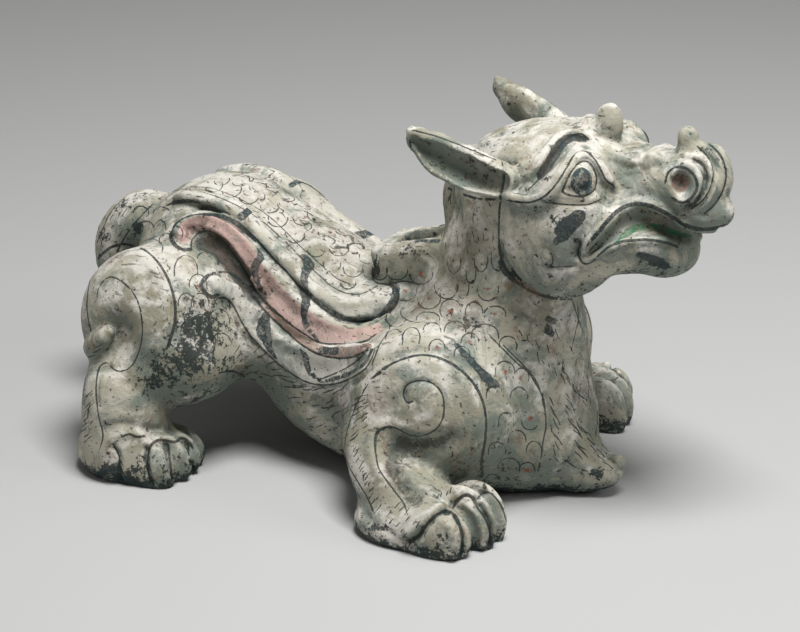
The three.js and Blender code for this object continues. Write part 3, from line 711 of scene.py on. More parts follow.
def carveClay():
    mesh = beast.data
    points = pointsOf(mesh) / mm
    normals = normalsOf(mesh)
    raised = np.zeros(len(points))
    for height, wide, pixels in carvings:
        for line in brushed(pixels, wide):
            k, side, beyond, _ = besideLine(line, wide * 2.6)
            raised[k] += height * np.exp(-(side / wide) ** 2)
    rough = sum(lumpiness(points, size, i) * high for i, (size, high) in enumerate(figure["uneven"]))
    free = np.clip(points[:, 2] / 3, 0, 1)
    points += normals * ((raised + rough) * free)[:, None]
    points[:, 2] = np.maximum(points[:, 2], 0)
    mesh.vertices.foreach_set("co", (points * mm).astype(np.float32).ravel())
    thin = beast.modifiers.new("thin", 'DECIMATE')
    thin.ratio = min(1, figure["triangles"] / (len(mesh.polygons) * 2))
    modified(beast)
    beast.data.polygons.foreach_set("use_smooth", np.ones(len(beast.data.polygons), bool))
    print("clay carved:", len(beast.data.vertices), "points,", len(beast.data.polygons), "faces")


carveClay()
foldClay()
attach(beast, "root")
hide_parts("tomb_beast")


# Dark brush lines: (u, v[, half width in mm]) in pixels, with the half width of each line first
brushLines = [
    # haunch: the outer rim, the inner crescent, the leg and the foot
    (1.0, [(91, 331), (87, 310), (89, 286), (98, 259), (110, 248), (122, 244), (134, 246), (146, 251), (156, 260),
           (164, 271), (171, 287), (175, 304), (175, 320), (171, 338), (166, 350, 0.5)]),
    (0.5, [(97, 302), (98, 290), (103, 281), (110, 277), (118, 279), (127, 286), (135, 296), (140, 308), (142, 322),
           (142, 338), (138, 354), (133, 364), (126, 370), (117, 371), (110, 366)]),
    (0.5, [(108, 362), (101, 365), (98, 372), (96, 388), (97, 403), (99, 418), (102, 429), (103, 437), (99, 451, 0.2)]),
    (0.9, [(149, 450), (152, 444), (159, 440), (168, 441), (176, 442), (181, 438), (188, 441), (193, 449)]),
    (0.8, [(122, 437), (129, 434), (137, 437), (144, 436)]),
    (0.5, [(113, 444), (119, 456), (118, 472)]), (0.7, [(149, 451), (147, 464), (150, 480)]),
    (0.7, [(168, 444), (170, 460), (172, 478)]), (0.7, [(188, 442), (189, 456), (192, 470)]),
    # wing: the top roll
    (1.4, [(167, 205), (178, 202), (189, 201), (200, 203, 0.7)]),
    (0.9, [(222, 214, 0.4), (238, 223), (254, 237), (267, 251), (277, 262), (288, 273), (299, 286), (309, 296),
           (320, 306), (331, 314), (343, 320), (357, 322), (371, 320), (384, 315), (395, 306), (398, 296), (395, 287),
           (386, 284)]),
    (0.35, [(158, 199), (178, 190), (197, 191), (215, 196), (238, 206), (262, 221), (277, 234), (292, 248), (306, 263),
            (320, 276), (333, 287), (349, 294), (364, 293), (377, 286)]),
    (0.3, [(190, 186), (214, 189), (240, 199), (266, 214), (284, 230), (300, 246), (318, 262), (338, 279), (356, 286)]),
    # the pink strip
    (1.5, [(191, 249), (184, 250), (177, 247), (172, 240), (171, 233), (174, 226), (180, 220, 1.0), (189, 216, 0.7),
           (200, 214, 0.5), (212, 215), (224, 217), (234, 222), (243, 229), (256, 242, 0.6)]),
    (0.6, [(191, 249), (192, 240), (199, 233), (209, 231), (218, 236), (227, 245), (236, 257), (245, 271), (252, 283),
           (259, 295, 0.9), (269, 306, 1.2), (280, 316, 1.2), (294, 327), (306, 335), (318, 342), (332, 344), (350, 343),
           (366, 341), (376, 334)]),
    (0.7, [(246, 284), (256, 300), (270, 316), (286, 331), (302, 345), (318, 354), (336, 358), (352, 357), (368, 350)]),
    (0.6, [(385, 319), (390, 326), (386, 335), (380, 344), (376, 354), (372, 364)]),
    # the lower strip
    (1.5, [(218, 295), (212, 297), (206, 294), (203, 288), (203, 281), (208, 276), (215, 273, 0.9), (226, 272, 0.5),
           (235, 276), (243, 284), (251, 293), (259, 303)]),
    (0.6, [(218, 298), (227, 299), (234, 307), (240, 319), (248, 332), (258, 344), (270, 356), (281, 366, 0.9),
           (295, 376), (309, 383), (324, 385), (339, 383), (353, 377), (365, 369), (372, 358), (375, 348)]),
    (0.5, [(318, 380), (334, 374), (348, 367), (360, 358), (368, 348)]),
    # shoulder: the rim, the spiral and the limb's rear edge
    (1.2, [(371, 379, 0.5), (379, 373), (388, 366), (400, 360), (413, 356), (426, 355), (440, 358), (452, 364),
           (464, 373), (474, 384), (481, 397), (485, 411), (486, 426), (485, 442), (482, 458), (482, 474), (485, 488)]),
    (0.5, [(413, 401), (408, 403), (404, 397), (404, 390), (408, 384), (417, 381), (426, 381), (435, 385), (442, 394),
           (444, 405), (443, 417), (438, 427), (430, 433), (420, 436), (410, 435), (400, 430, 0.8), (392, 427, 0.8),
           (384, 428, 0.9), (377, 433, 0.9), (375, 443, 0.8), (376, 455), (379, 469), (387, 481), (396, 493),
           (404, 504), (408, 516, 0.2)]),
    (0.7, [(368, 384), (359, 399), (351, 418), (346, 436), (345, 450), (349, 466), (358, 482), (368, 499), (373, 511)]),
    # the edge of the chest's panel, and the chest's front edge
    (0.5, [(488, 334), (497, 343), (508, 354), (519, 365), (528, 371, 1.0), (536, 383, 1.2), (542, 396), (545, 410),
           (546, 426), (543, 442), (541, 458), (538, 472)]),
    (0.4, [(503, 345), (514, 356), (524, 366), (533, 378)]),
    (0.5, [(573, 302), (578, 318), (584, 336), (587, 356), (589, 378), (588, 400)]),
    # toes of the fore foot
    (1.1, [(409, 542), (418, 536), (428, 523), (438, 514), (446, 511), (453, 514), (459, 524), (462, 538), (462, 551),
           (458, 560)]),
    (1.1, [(453, 508), (458, 500), (466, 495), (473, 498), (477, 507), (484, 517), (489, 530), (490, 543), (486, 551)]),
    (0.6, [(477, 499), (484, 493), (490, 493), (499, 502), (505, 516), (507, 529), (503, 540)]),
    # ear, cheek and jaw
    (0.8, [(410, 140), (412, 154), (422, 170), (437, 182), (457, 192), (480, 199), (500, 199)]),
    (0.5, [(412, 130), (432, 135), (452, 142), (474, 151), (496, 160)]),
    (0.9, [(502, 162, 0.4), (504, 177), (502, 190), (500, 203), (499, 221), (499, 241), (502, 260), (512, 277),
           (525, 288), (541, 295), (558, 299), (573, 299, 0.4)]),
    # brow and eye
    (0.6, [(506, 200), (518, 202), (532, 202), (545, 196), (557, 183), (567, 167), (576, 153), (585, 151), (593, 157),
           (600, 168), (606, 180), (614, 186)]),
    (0.5, [(528, 190), (538, 180), (546, 168), (554, 154), (562, 143), (571, 136), (582, 134), (589, 140)]),
    (0.4, [(545, 202), (560, 204), (575, 205), (590, 204), (601, 199)]),
    (0.6, [(562, 192), (566, 182), (572, 171), (579, 163), (586, 161), (592, 166), (596, 175), (596, 185), (592, 192),
           (584, 196), (574, 196), (566, 194), (562, 191)]),
    # lips
    (1.3, [(587, 246, 0.5), (594, 237), (601, 229), (612, 216), (622, 208), (635, 204), (647, 205), (660, 210),
           (672, 217), (685, 225), (698, 229), (712, 229), (724, 225)]),
    (0.9, [(597, 257, 0.4), (607, 248), (620, 242), (635, 240), (652, 240), (667, 243), (678, 247)]),
    (0.6, [(581, 243), (578, 252), (581, 261), (587, 264), (596, 259)]),
    # nostril and the ridges around it
    (0.9, [(665, 183), (668, 173), (676, 167), (687, 169), (695, 177), (697, 188), (691, 198), (682, 203), (672, 198)]),
    (0.5, [(697, 146), (707, 156), (713, 170), (711, 186), (703, 200), (691, 209)]),
    (0.5, [(709, 143), (721, 156), (726, 173), (723, 190), (715, 204), (704, 214)]),
    # creases beside the mouth
    (0.3, [(547, 267), (560, 267), (574, 266)]), (0.3, [(551, 252), (553, 262), (548, 268)]),
    # tail and rump
    (0.5, [(97, 243), (104, 226), (114, 208), (127, 196)]), (0.5, [(117, 252), (128, 232), (141, 216), (153, 204)]),
    # socket collar
    (0.5, [(373, 262), (374, 281), (388, 284), (404, 281), (420, 285)]),
    # the belly's lower edge
    (0.6, [(219, 373), (232, 371), (245, 377), (260, 389), (275, 402), (290, 418), (305, 436)])]

# Scales: (u, v, half width, height, turn, dot) in pixels and degrees; the curve is below its middle where turn is 0
scalesDrawn = [
    (454, 261, 7, 12, 0, 1), (481, 260, 7, 12, 0, 1), (497, 256, 6, 16, 0, 0.7), (471, 273, 5, 11, 0, 0.7),
    (446, 285, 12, 14, -15, 1), (463, 286, 6, 13, 0, 1), (488, 289, 11, 12, 0, 0.8), (429, 298, 12, 11, -15, 1.3),
    (397, 270, 11, 10, 0, 1), (421, 274, 12, 10, 0, 1.2), (405, 291, 12, 10, 0, 1), (380, 271, 8, 9, 0, 0.6),
    (414, 314, 14, 8, 12, 0.9), (451, 311, 11, 12, 160, 1.3), (428, 319, 12, 7, 180, 0.7), (432, 331, 9, 9, 180, 0),
    (455, 331, 11, 10, 180, 0), (485, 336, 14, 12, 180, 1), (437, 348, 8, 9, 180, 0.8), (411, 339, 9, 12, 190, 1),
    (495, 314, 11, 8, 180, 0.7), (474, 312, 9, 10, 180, 0.5), (506, 424, 8, 12, 180, 0.6), (497, 452, 9, 10, 180, 0.6),
    (509, 467, 11, 9, 180, 0.9), (492, 482, 8, 8, 180, 0.8), (530, 420, 9, 10, 0, 1.5), (534, 452, 8, 11, 180, 0.9),
    (527, 470, 8, 8, 180, 1.4), (519, 398, 9, 11, 180, 0.6), (505, 372, 10, 11, 170, 0.9), (521, 378, 8, 10, 190, 0.8),
    (495, 396, 9, 10, 180, 0.6), (517, 440, 9, 10, 180, 0.7), (508, 345, 9, 9, 180, 0.6), (525, 349, 9, 9, 180, 0.5),
    (470, 342, 9, 9, 180, 0.6), (462, 354, 8, 8, 180, 0.4), (394, 341, 9, 12, 190, 0.6), (396, 318, 10, 9, 10, 0.5),
    # the back
    (287, 202, 10, 9, -10, 0.8), (318, 213, 11, 10, 0, 0.9), (329, 232, 11, 9, 0, 1), (295, 234, 10, 9, 0, 0.8),
    (339, 248, 10, 8, 0, 0.8), (303, 218, 10, 8, 0, 0.7), (353, 269, 10, 8, 0, 0.7), (368, 256, 9, 8, 0, 0.7),
    (316, 249, 9, 8, 0, 0.7), (332, 264, 9, 8, 0, 0.6), (270, 205, 10, 8, -5, 0.6), (278, 219, 10, 8, 0, 0.6),
    (249, 196, 10, 8, -10, 0.7), (232, 190, 10, 7, -15, 0.5), (258, 186, 9, 6, -10, 0.6), (241, 181, 9, 5, -10, 0.5),
    (214, 186, 9, 6, -15, 0.5), (304, 199, 9, 8, 0, 0.7), (343, 228, 8, 8, 0, 0.7), (355, 246, 8, 8, 0, 0.6),
    (371, 272, 8, 8, 0, 0.6), (348, 283, 8, 6, 0, 0.4), (270, 190, 8, 6, -5, 0.5), (222, 180, 8, 5, -15, 0.4),
    # between the haunch and the wing
    (160, 228, 6, 8, 180, 0.7), (152, 248, 11, 9, 190, 0.5), (166, 241, 7, 8, 180, 0.4), (186, 272, 12, 17, 180, 0),
    (208, 260, 11, 8, 195, 0.5), (198, 286, 9, 12, 180, 0.6), (200, 304, 9, 11, 180, 0.6), (219, 323, 11, 14, 180, 0.7),
    (221, 343, 10, 10, 180, 0.6), (201, 325, 9, 11, 180, 0.6), (186, 304, 8, 11, 180, 0.5), (189, 330, 8, 10, 180, 0.5),
    (205, 348, 10, 10, 180, 0.6), (222, 306, 8, 9, 180, 0.4), (176, 233, 7, 7, 200, 0.3), (146, 229, 8, 8, 190, 0.5),
    (162, 214, 9, 7, 190, 0.5), (141, 213, 8, 7, 190, 0.4)]

# Rows of short hairs: from (u, v) to (u, v), how many, length, first and last direction (0 right, 90 up)
hairRows = [
    ((83, 394), (83, 442), 11, 9, 48, 42), ((89, 398), (89, 438), 7, 7, 50, 45), ((88, 356), (96, 348), 3, 9, 12, 25),
    ((232, 350), (246, 374), 6, 12, 76, 18), ((252, 352), (280, 376), 5, 11, 55, -12), ((262, 372), (302, 388), 5, 14, -15, -3),
    ((282, 386), (332, 396), 6, 14, -5, 24), ((290, 400), (338, 414), 6, 13, 0, 30), ((305, 420), (340, 438), 4, 12, 10, 40),
    ((340, 388), (345, 425), 5, 11, 40, 50), ((325, 404), (335, 430), 3, 10, 35, 45),
    ((354, 400), (350, 442), 8, 13, 24, 42), ((352, 450), (374, 512), 11, 9, 62, 55), ((362, 404), (360, 436), 6, 8, 30, 45),
    ((371, 382), (378, 398), 4, 7, 5, -10), ((358, 470), (378, 508), 6, 7, 60, 55),
    ((551, 398), (553, 455), 9, 13, -68, -52), ((563, 390), (576, 452), 10, 15, -66, -40),
    ((576, 420), (602, 462), 8, 14, -60, -30), ((520, 330), (562, 356), 6, 12, -72, -66), ((548, 322), (578, 352), 5, 12, -70, -62),
    ((536, 350), (574, 384), 7, 12, -74, -64), ((560, 362), (584, 400), 5, 12, -70, -60), ((552, 455), (590, 474), 5, 11, -40, -15),
    ((395, 508), (424, 536), 8, 9, 50, 60), ((386, 518), (404, 538), 5, 8, 50, 55), ((436, 500), (452, 492), 4, 7, 60, 75),
    ((450, 214), (474, 214), 5, 9, -88, -92), ((456, 232), (492, 232), 6, 9, -88, -92), ((446, 244), (490, 247), 5, 8, -86, -92),
    ((436, 232), (443, 198), 2, 16, 80, 76), ((440, 236), (448, 202), 2, 18, 84, 78), ((445, 240), (452, 206), 2, 18, 88, 82),
    ((105, 205), (150, 196), 6, 9, 40, 20), ((104, 222), (130, 214), 5, 9, 62, 45), ((100, 244), (118, 238), 3, 10, 70, 60),
    ((196, 196), (224, 205), 4, 8, -10, -30), ((560, 120), (600, 116), 4, 6, 10, -10)]

# Areas of colour, as strokes with their half widths in pixels
areas = dict(
    pink=[[(184, 238, 6), (187, 228, 7), (200, 224, 8), (214, 225, 8.5), (228, 234, 10), (240, 247, 11), (249, 262, 11),
           (256, 273, 11), (267, 284, 11), (278, 298, 12), (291, 311, 12), (305, 322, 12), (320, 330, 11), (335, 334, 8),
           (351, 335, 7), (367, 332, 6.5), (378, 328, 5)]],
    # a darker copy of the pink along the pink strip's underside and in the dug hollows of the wing, limb and nostril:
    # painted shade
    shadedPink=[[(209, 240, 5), (220, 255, 6), (233, 270, 6), (243, 285, 4), (254, 297, 3)],
          [(258, 300, 3), (266, 307, 4.5), (281, 322, 5), (298, 337, 5), (315, 348, 5), (333, 352, 5), (353, 351, 4.5),
           (368, 345, 4)],
          [(391, 438, 1.6), (385, 449, 1.7), (386, 461, 1.8), (390, 474, 1.6), (399, 487, 1.5), (408, 500, 1)],
          [(420, 444, 1), (430, 443, 1.6), (438, 438, 1)],
          [(680, 183, 9)]],
    slate=[[(242, 216, 4.5), (250, 210, 4)], [(304, 257, 4), (309, 264, 6), (305, 272, 4.5), (304, 280, 3), (308, 291, 1.8), (316, 299, 1)],
           [(392, 283, 3.5), (396, 290, 4), (395, 299, 4), (389, 308, 4), (383, 315, 3.5)],
           [(258, 249, 2.5), (261, 256, 4), (256, 264, 4), (254, 272, 3.5), (257, 281, 3), (261, 290, 2)],
           [(304, 294, 4), (306, 302, 4.5), (304, 310, 4.5), (304, 318, 4), (307, 327, 3), (313, 335, 2), (318, 341, 1)],
           [(322, 350, 4), (336, 351, 4)],
           [(266, 316, 4), (264, 324, 7), (264, 331, 8), (267, 340, 6), (270, 350, 3), (276, 358, 2)],
           [(302, 349, 3), (305, 356, 4), (307, 365, 3.5), (311, 373, 3), (317, 379, 2), (324, 383, 1.5)],
           [(372, 350, 2), (366, 362, 2.5), (354, 371, 2.5), (340, 377, 2.5), (326, 381, 2)],
           [(275, 187, 1.5), (287, 190, 2.5), (300, 194, 1)], [(338, 225, 2), (348, 231, 3), (354, 243, 1.5)],
           [(540, 176, 4), (549, 163, 5), (559, 147, 5), (571, 138, 4), (583, 139, 3)],
           [(584, 178, 11), (583, 184, 11)],
           [(561, 231, 6), (570, 224, 7), (579, 216, 6)], [(556, 242, 3), (566, 236, 4)],
           [(86, 366, 3), (85, 374, 4)], [(457, 345, 3), (466, 355, 4), (476, 366, 4), (487, 378, 5), (497, 386, 4)],
           [(542, 395, 2), (545, 408, 2)], [(558, 356, 3), (563, 370, 2)], [(547, 318, 3), (555, 322, 2.5)],
           [(116, 470, 7), (127, 482, 8), (138, 486, 6)], [(96, 480, 4), (106, 468, 4)], [(545, 330, 3), (552, 334, 3)],
           [(406, 556, 5), (430, 562, 5), (452, 562, 4)], [(500, 262, 3), (506, 273, 3), (514, 281, 2)],
           [(464, 318, 2), (467, 326, 3)], [(402, 238, 1.5), (418, 240, 3), (438, 241, 3)],
           [(375, 262, 2), (374, 270, 2)], [(640, 255, 4), (655, 260, 5), (668, 268, 4)]],
    green=[[(616, 243, 2), (625, 235, 3), (637, 228, 3.5), (652, 227, 3.5), (667, 230, 3), (682, 235, 2.5), (691, 236, 1.5)]],
    dark=[[(586, 178, 5), (585, 184, 6)]])

# Soft patches of soil: (u, v, radius in px, strength)
patches = dict(
    dark=[(205, 330, 26, 0.9), (190, 360, 26, 1), (163, 372, 20, 0.9), (150, 385, 14, 0.7), (225, 362, 18, 0.7), (135, 474, 16, 0.8),
          (166, 470, 12, 0.4), (190, 468, 12, 0.6), (103, 470, 12, 0.5), (138, 230, 10, 0.9), (122, 205, 16, 0.4), (103, 236, 12, 0.6),
          (566, 226, 16, 0.5), (510, 270, 12, 0.5), (375, 268, 8, 0.9), (410, 250, 14, 0.5), (440, 545, 14, 0.5), (375, 528, 12, 0.6),
          (660, 262, 16, 0.5), (455, 190, 18, 0.4), (430, 165, 12, 0.4), (486, 380, 14, 0.4), (600, 475, 12, 0.7), (606, 398, 14, 0.4),
          (640, 420, 14, 0.5), (560, 365, 12, 0.3), (200, 290, 14, 0.3), (460, 555, 12, 0.6), (500, 535, 8, 0.6), (700, 150, 10, 0.3)],
    earth=[(118, 260, 12, 0.5), (108, 262, 10, 0.6), (150, 278, 12, 0.4), (215, 245, 16, 0.6), (232, 268, 14, 0.5), (270, 280, 12, 0.4),
           (380, 400, 14, 0.6), (400, 470, 20, 0.4), (460, 460, 20, 0.3), (175, 475, 14, 0.6), (460, 530, 14, 0.6), (478, 530, 14, 0.5),
           (160, 420, 22, 0.5), (130, 400, 18, 0.3), (470, 250, 22, 0.5), (462, 300, 30, 0.4), (520, 300, 26, 0.4), (320, 225, 30, 0.35),
           (340, 260, 24, 0.35), (255, 195, 24, 0.3), (540, 245, 14, 0.3), (470, 190, 16, 0.3), (655, 225, 16, 0.3), (610, 430, 20, 0.4),
           (420, 300, 24, 0.3), (205, 315, 20, 0.6), (190, 262, 14, 0.3), (640, 165, 18, 0.3)])


# Rows of scales and hairs become strokes too
def scaleStroke(u, v, wide, deep, turn):
    angles = np.radians(np.linspace(-105, 105, 7))
    across, down = wide * np.sin(angles), deep * np.cos(angles)
    c, s = math.cos(math.radians(turn)), math.sin(math.radians(turn))
    return [(u + a * c - d * s, v + a * s + d * c) for a, d in zip(across, down)]


def hairStrokes(start, end, count, length, first, last, luck):
    strokes = []
    for i in range(count):
        t = i / max(count - 1, 1)
        u = start[0] + (end[0] - start[0]) * t + luck.uniform(-2, 2)
        v = start[1] + (end[1] - start[1]) * t + luck.uniform(-1.5, 1.5)
        angle = math.radians(first + (last - first) * t + luck.uniform(-7, 7))
        size = length * luck.uniform(0.75, 1.25)
        bend = luck.uniform(-0.12, 0.12) * size
        du, dv = math.cos(angle) * size, -math.sin(angle) * size
        strokes.append([(u, v, 0.4), (u + du / 2 - dv * bend / size, v + dv / 2 + du * bend / size, 0.35), (u + du, v + dv, 0.12)])
    return strokes


def allLines():
    luck = np.random.default_rng(11)
    lines = []
    for width, pixels in brushLines:
        lines += brushed(pixels, width)
    for u, v, wide, deep, turn, dot in scalesDrawn:
        lines += brushed(scaleStroke(u, v, wide, deep, turn), 0.38)
    for row in hairRows:
        for pixels in hairStrokes(*row, luck):
            lines += brushed(pixels, 0.4)
    return lines


# Lines that come near one another go on different layers, so that each can be drawn sharp
brush = dict(layers=6, apart=8.0, reach=5.0)


def layLines(lines):
    layers = [[] for _ in range(brush["layers"])]
    for line in sorted(lines, key=len, reverse=True):
        room = []
        for layer in layers:
            gaps = [long(line[:, None, :3] - other[None, :, :3]).min() for other in layer
                    if long(line[len(line) // 2, :3] - other[len(other) // 2, :3]) < 80]
            room.append(min(gaps, default=1e3))
            if room[-1] > brush["apart"]:
                break
        layers[int(np.argmax(room))].append(line)
    return layers


def keepOnClay(name, values):
    kind = 'FLOAT_VECTOR' if values.ndim == 2 else 'FLOAT'
    attribute = beast.data.attributes.new(name, kind, 'POINT')
    attribute.data.foreach_set("vector" if values.ndim == 2 else "value", values.astype(np.float32).ravel())


def drawLines():
    lines = allLines()
    layers = layLines(lines)
    for number, layer in enumerate(layers):
        drawn = np.zeros((len(folded), 3))
        drawn[:, 0], drawn[:, 1] = 4, -4
        best = np.full(len(folded), -8.0)
        for line in layer:
            k, side, beyond, wide = besideLine(line, brush["reach"])
            across = np.sqrt(np.maximum(side ** 2 - beyond ** 2, 0))
            wide = wide - beyond - np.maximum(across - 2.4, 0) * 3
            score = wide - across
            better = score > best[k]
            k = k[better]
            best[k] = score[better]
            drawn[k, 0] = np.where(side[better] < 0, -across[better], across[better])
            drawn[k, 1] = wide[better]
        keepOnClay(f"line{number + 1}", drawn)
    print("lines drawn:", len(lines), "on layers of", [len(layer) for layer in layers])


# How far inside a colour's area each point is, in mm
def areaField(strokes, reach=6.0):
    inside = np.full(len(folded), -reach)
    for pixels in strokes:
        for line in brushed([(u, v, r * view["pixel"]) for u, v, r in pixels] * (2 if len(pixels) == 1 else 1)):
            k, side, beyond, wide = besideLine(line, line[:, 3].max() + reach)
            inside[k] = np.maximum(inside[k], wide - np.abs(side))
    return inside


def patchField(spots):
    field = np.zeros(len(folded))
    for u, v, radius, strength in spots:
        spot = under(u, v)
        if spot is not None:
            away = long(folded - spot[0]) / (radius * view["pixel"])
            field = np.maximum(field, strength * np.exp(-away ** 2))
    return field


def dotField():
    inside = np.full(len(folded), -3.0)
    for u, v, wide, deep, turn, dot in scalesDrawn:
        spot = under(u, v)
        if dot and spot is not None:
            inside = np.maximum(inside, 1.5 * dot - long(folded - spot[0]))
    return inside


# How hollow or sharp the clay is around each point, from 0 to 1
def reliefFields():
    def at(depth):
        return inBlocks(clay, folded + foldedNormals * depth)
    return np.clip(1 - at(4) / 4, 0, 1), np.clip(1 - at(11) / 11, 0, 1), np.clip(1 + at(-3) / 3, 0, 1)


def paintBeast():
    drawLines()
    keepOnClay("paintA", np.column_stack([areaField(areas[c]) for c in ("slate", "pink", "shadedPink")]))
    keepOnClay("paintB", np.column_stack([areaField(areas["green"]), areaField(areas["dark"]), dotField()]))
    keepOnClay("relief", np.column_stack(reliefFields()))
    # How far each point faces up and down; the slip's colour takes painted light on upward faces and painted shade on
    # downward ones from it
    upward = foldedNormals[:, 2]
    keepOnClay("facing", np.column_stack([np.clip(upward, 0, 1), np.clip(-upward, 0, 1), upward * 0]))
    strips = np.minimum(*[inBlocks(form, folded) for form in (wings[0], wings[2])])
    keepOnClay("soilAndShade", np.column_stack([patchField(patches["dark"]), patchField(patches["earth"]),
                                        np.clip(1 - strips / 1.5, 0, 1)]))
    print("paint areas laid")


paintBeast()


# Materials
def paint(red, green, blue):
    return tuple(((c / 255 + 0.055) / 1.055) ** 2.4 if c > 10 else c / 255 / 12.92 for c in (red, green, blue)) + (1,)


finish = dict(slip=paint(188, 184, 168), chalkAndToplight=paint(222, 219, 210), stain=paint(152, 149, 131), filmAndShade=paint(100, 117, 110),
              ink=paint(26, 41, 43), slate=paint(46, 62, 65), pink=paint(208, 174, 166), shadedPink=paint(142, 112, 99),
              green=paint(34, 112, 76), dot=paint(148, 72, 52), earth=paint(116, 93, 67), soilAndShade=paint(28, 43, 43),
              speck=paint(44, 40, 33))


class Board:
    # Nodes of one tree, with short ways to add and join them
    def __init__(self, tree):
        self.tree = tree

    def put(self, kind, inputs=(), **settings):
        node = self.tree.nodes.new(kind)
        for key, value in settings.items():
            setattr(node, key, value)
        for key, value in dict(inputs).items():
            if isinstance(value, bpy.types.NodeSocket):
                self.tree.links.new(value, node.inputs[key])
            else:
                node.inputs[key].default_value = value
        return node

    def math(self, how, a, b=0.0, c=0.0, clamp=False):
        return self.put('ShaderNodeMath', {0: a, 1: b, 2: c}, operation=how, use_clamp=clamp).outputs[0]

    def ramp(self, value, low, high, start=0.0, end=1.0, how='SMOOTHSTEP'):
        node = self.put('ShaderNodeMapRange', {"Value": value, "From Min": low, "From Max": high, "To Min": start,
                                               "To Max": end}, interpolation_type=how)
        return node.outputs["Result"]

    def noise(self, where, size, detail=2.0, rough=0.5, twist=0.0):
        inputs = {"Vector": where, "Scale": size, "Detail": detail, "Roughness": rough, "Distortion": twist}
        return self.put('ShaderNodeTexNoise', inputs).outputs["Fac"]

    def over(self, mask, below, above):
        node = self.put('ShaderNodeMix', {0: mask, 6: below, 7: above}, data_type='RGBA')
        return node.outputs[2]

    def field(self, name):
        node = self.put('ShaderNodeAttribute', attribute_name=name)
        return self.put('ShaderNodeSeparateXYZ', {0: node.outputs["Vector"]}).outputs


# Where a brush line lies, from its field, with an edge that wanders and wears
def brushLineGroup():
    group = bpy.data.node_groups.new("brush line", 'ShaderNodeTree')
    for name, kind, way in (("Line", 'NodeSocketVector', 'INPUT'), ("Wander", 'NodeSocketFloat', 'INPUT'),
                            ("Mask", 'NodeSocketFloat', 'OUTPUT')):
        group.interface.new_socket(name, in_out=way, socket_type=kind)
    board = Board(group)
    given = board.put('NodeGroupInput')
    parts = board.put('ShaderNodeSeparateXYZ', {0: given.outputs["Line"]}).outputs
    room = board.math('SUBTRACT', parts[1], board.math('ABSOLUTE', parts[0]))
    room = board.math('ADD', room, given.outputs["Wander"])
    board.put('NodeGroupOutput', {"Mask": board.ramp(room, -0.18, 0.16)})
    return group


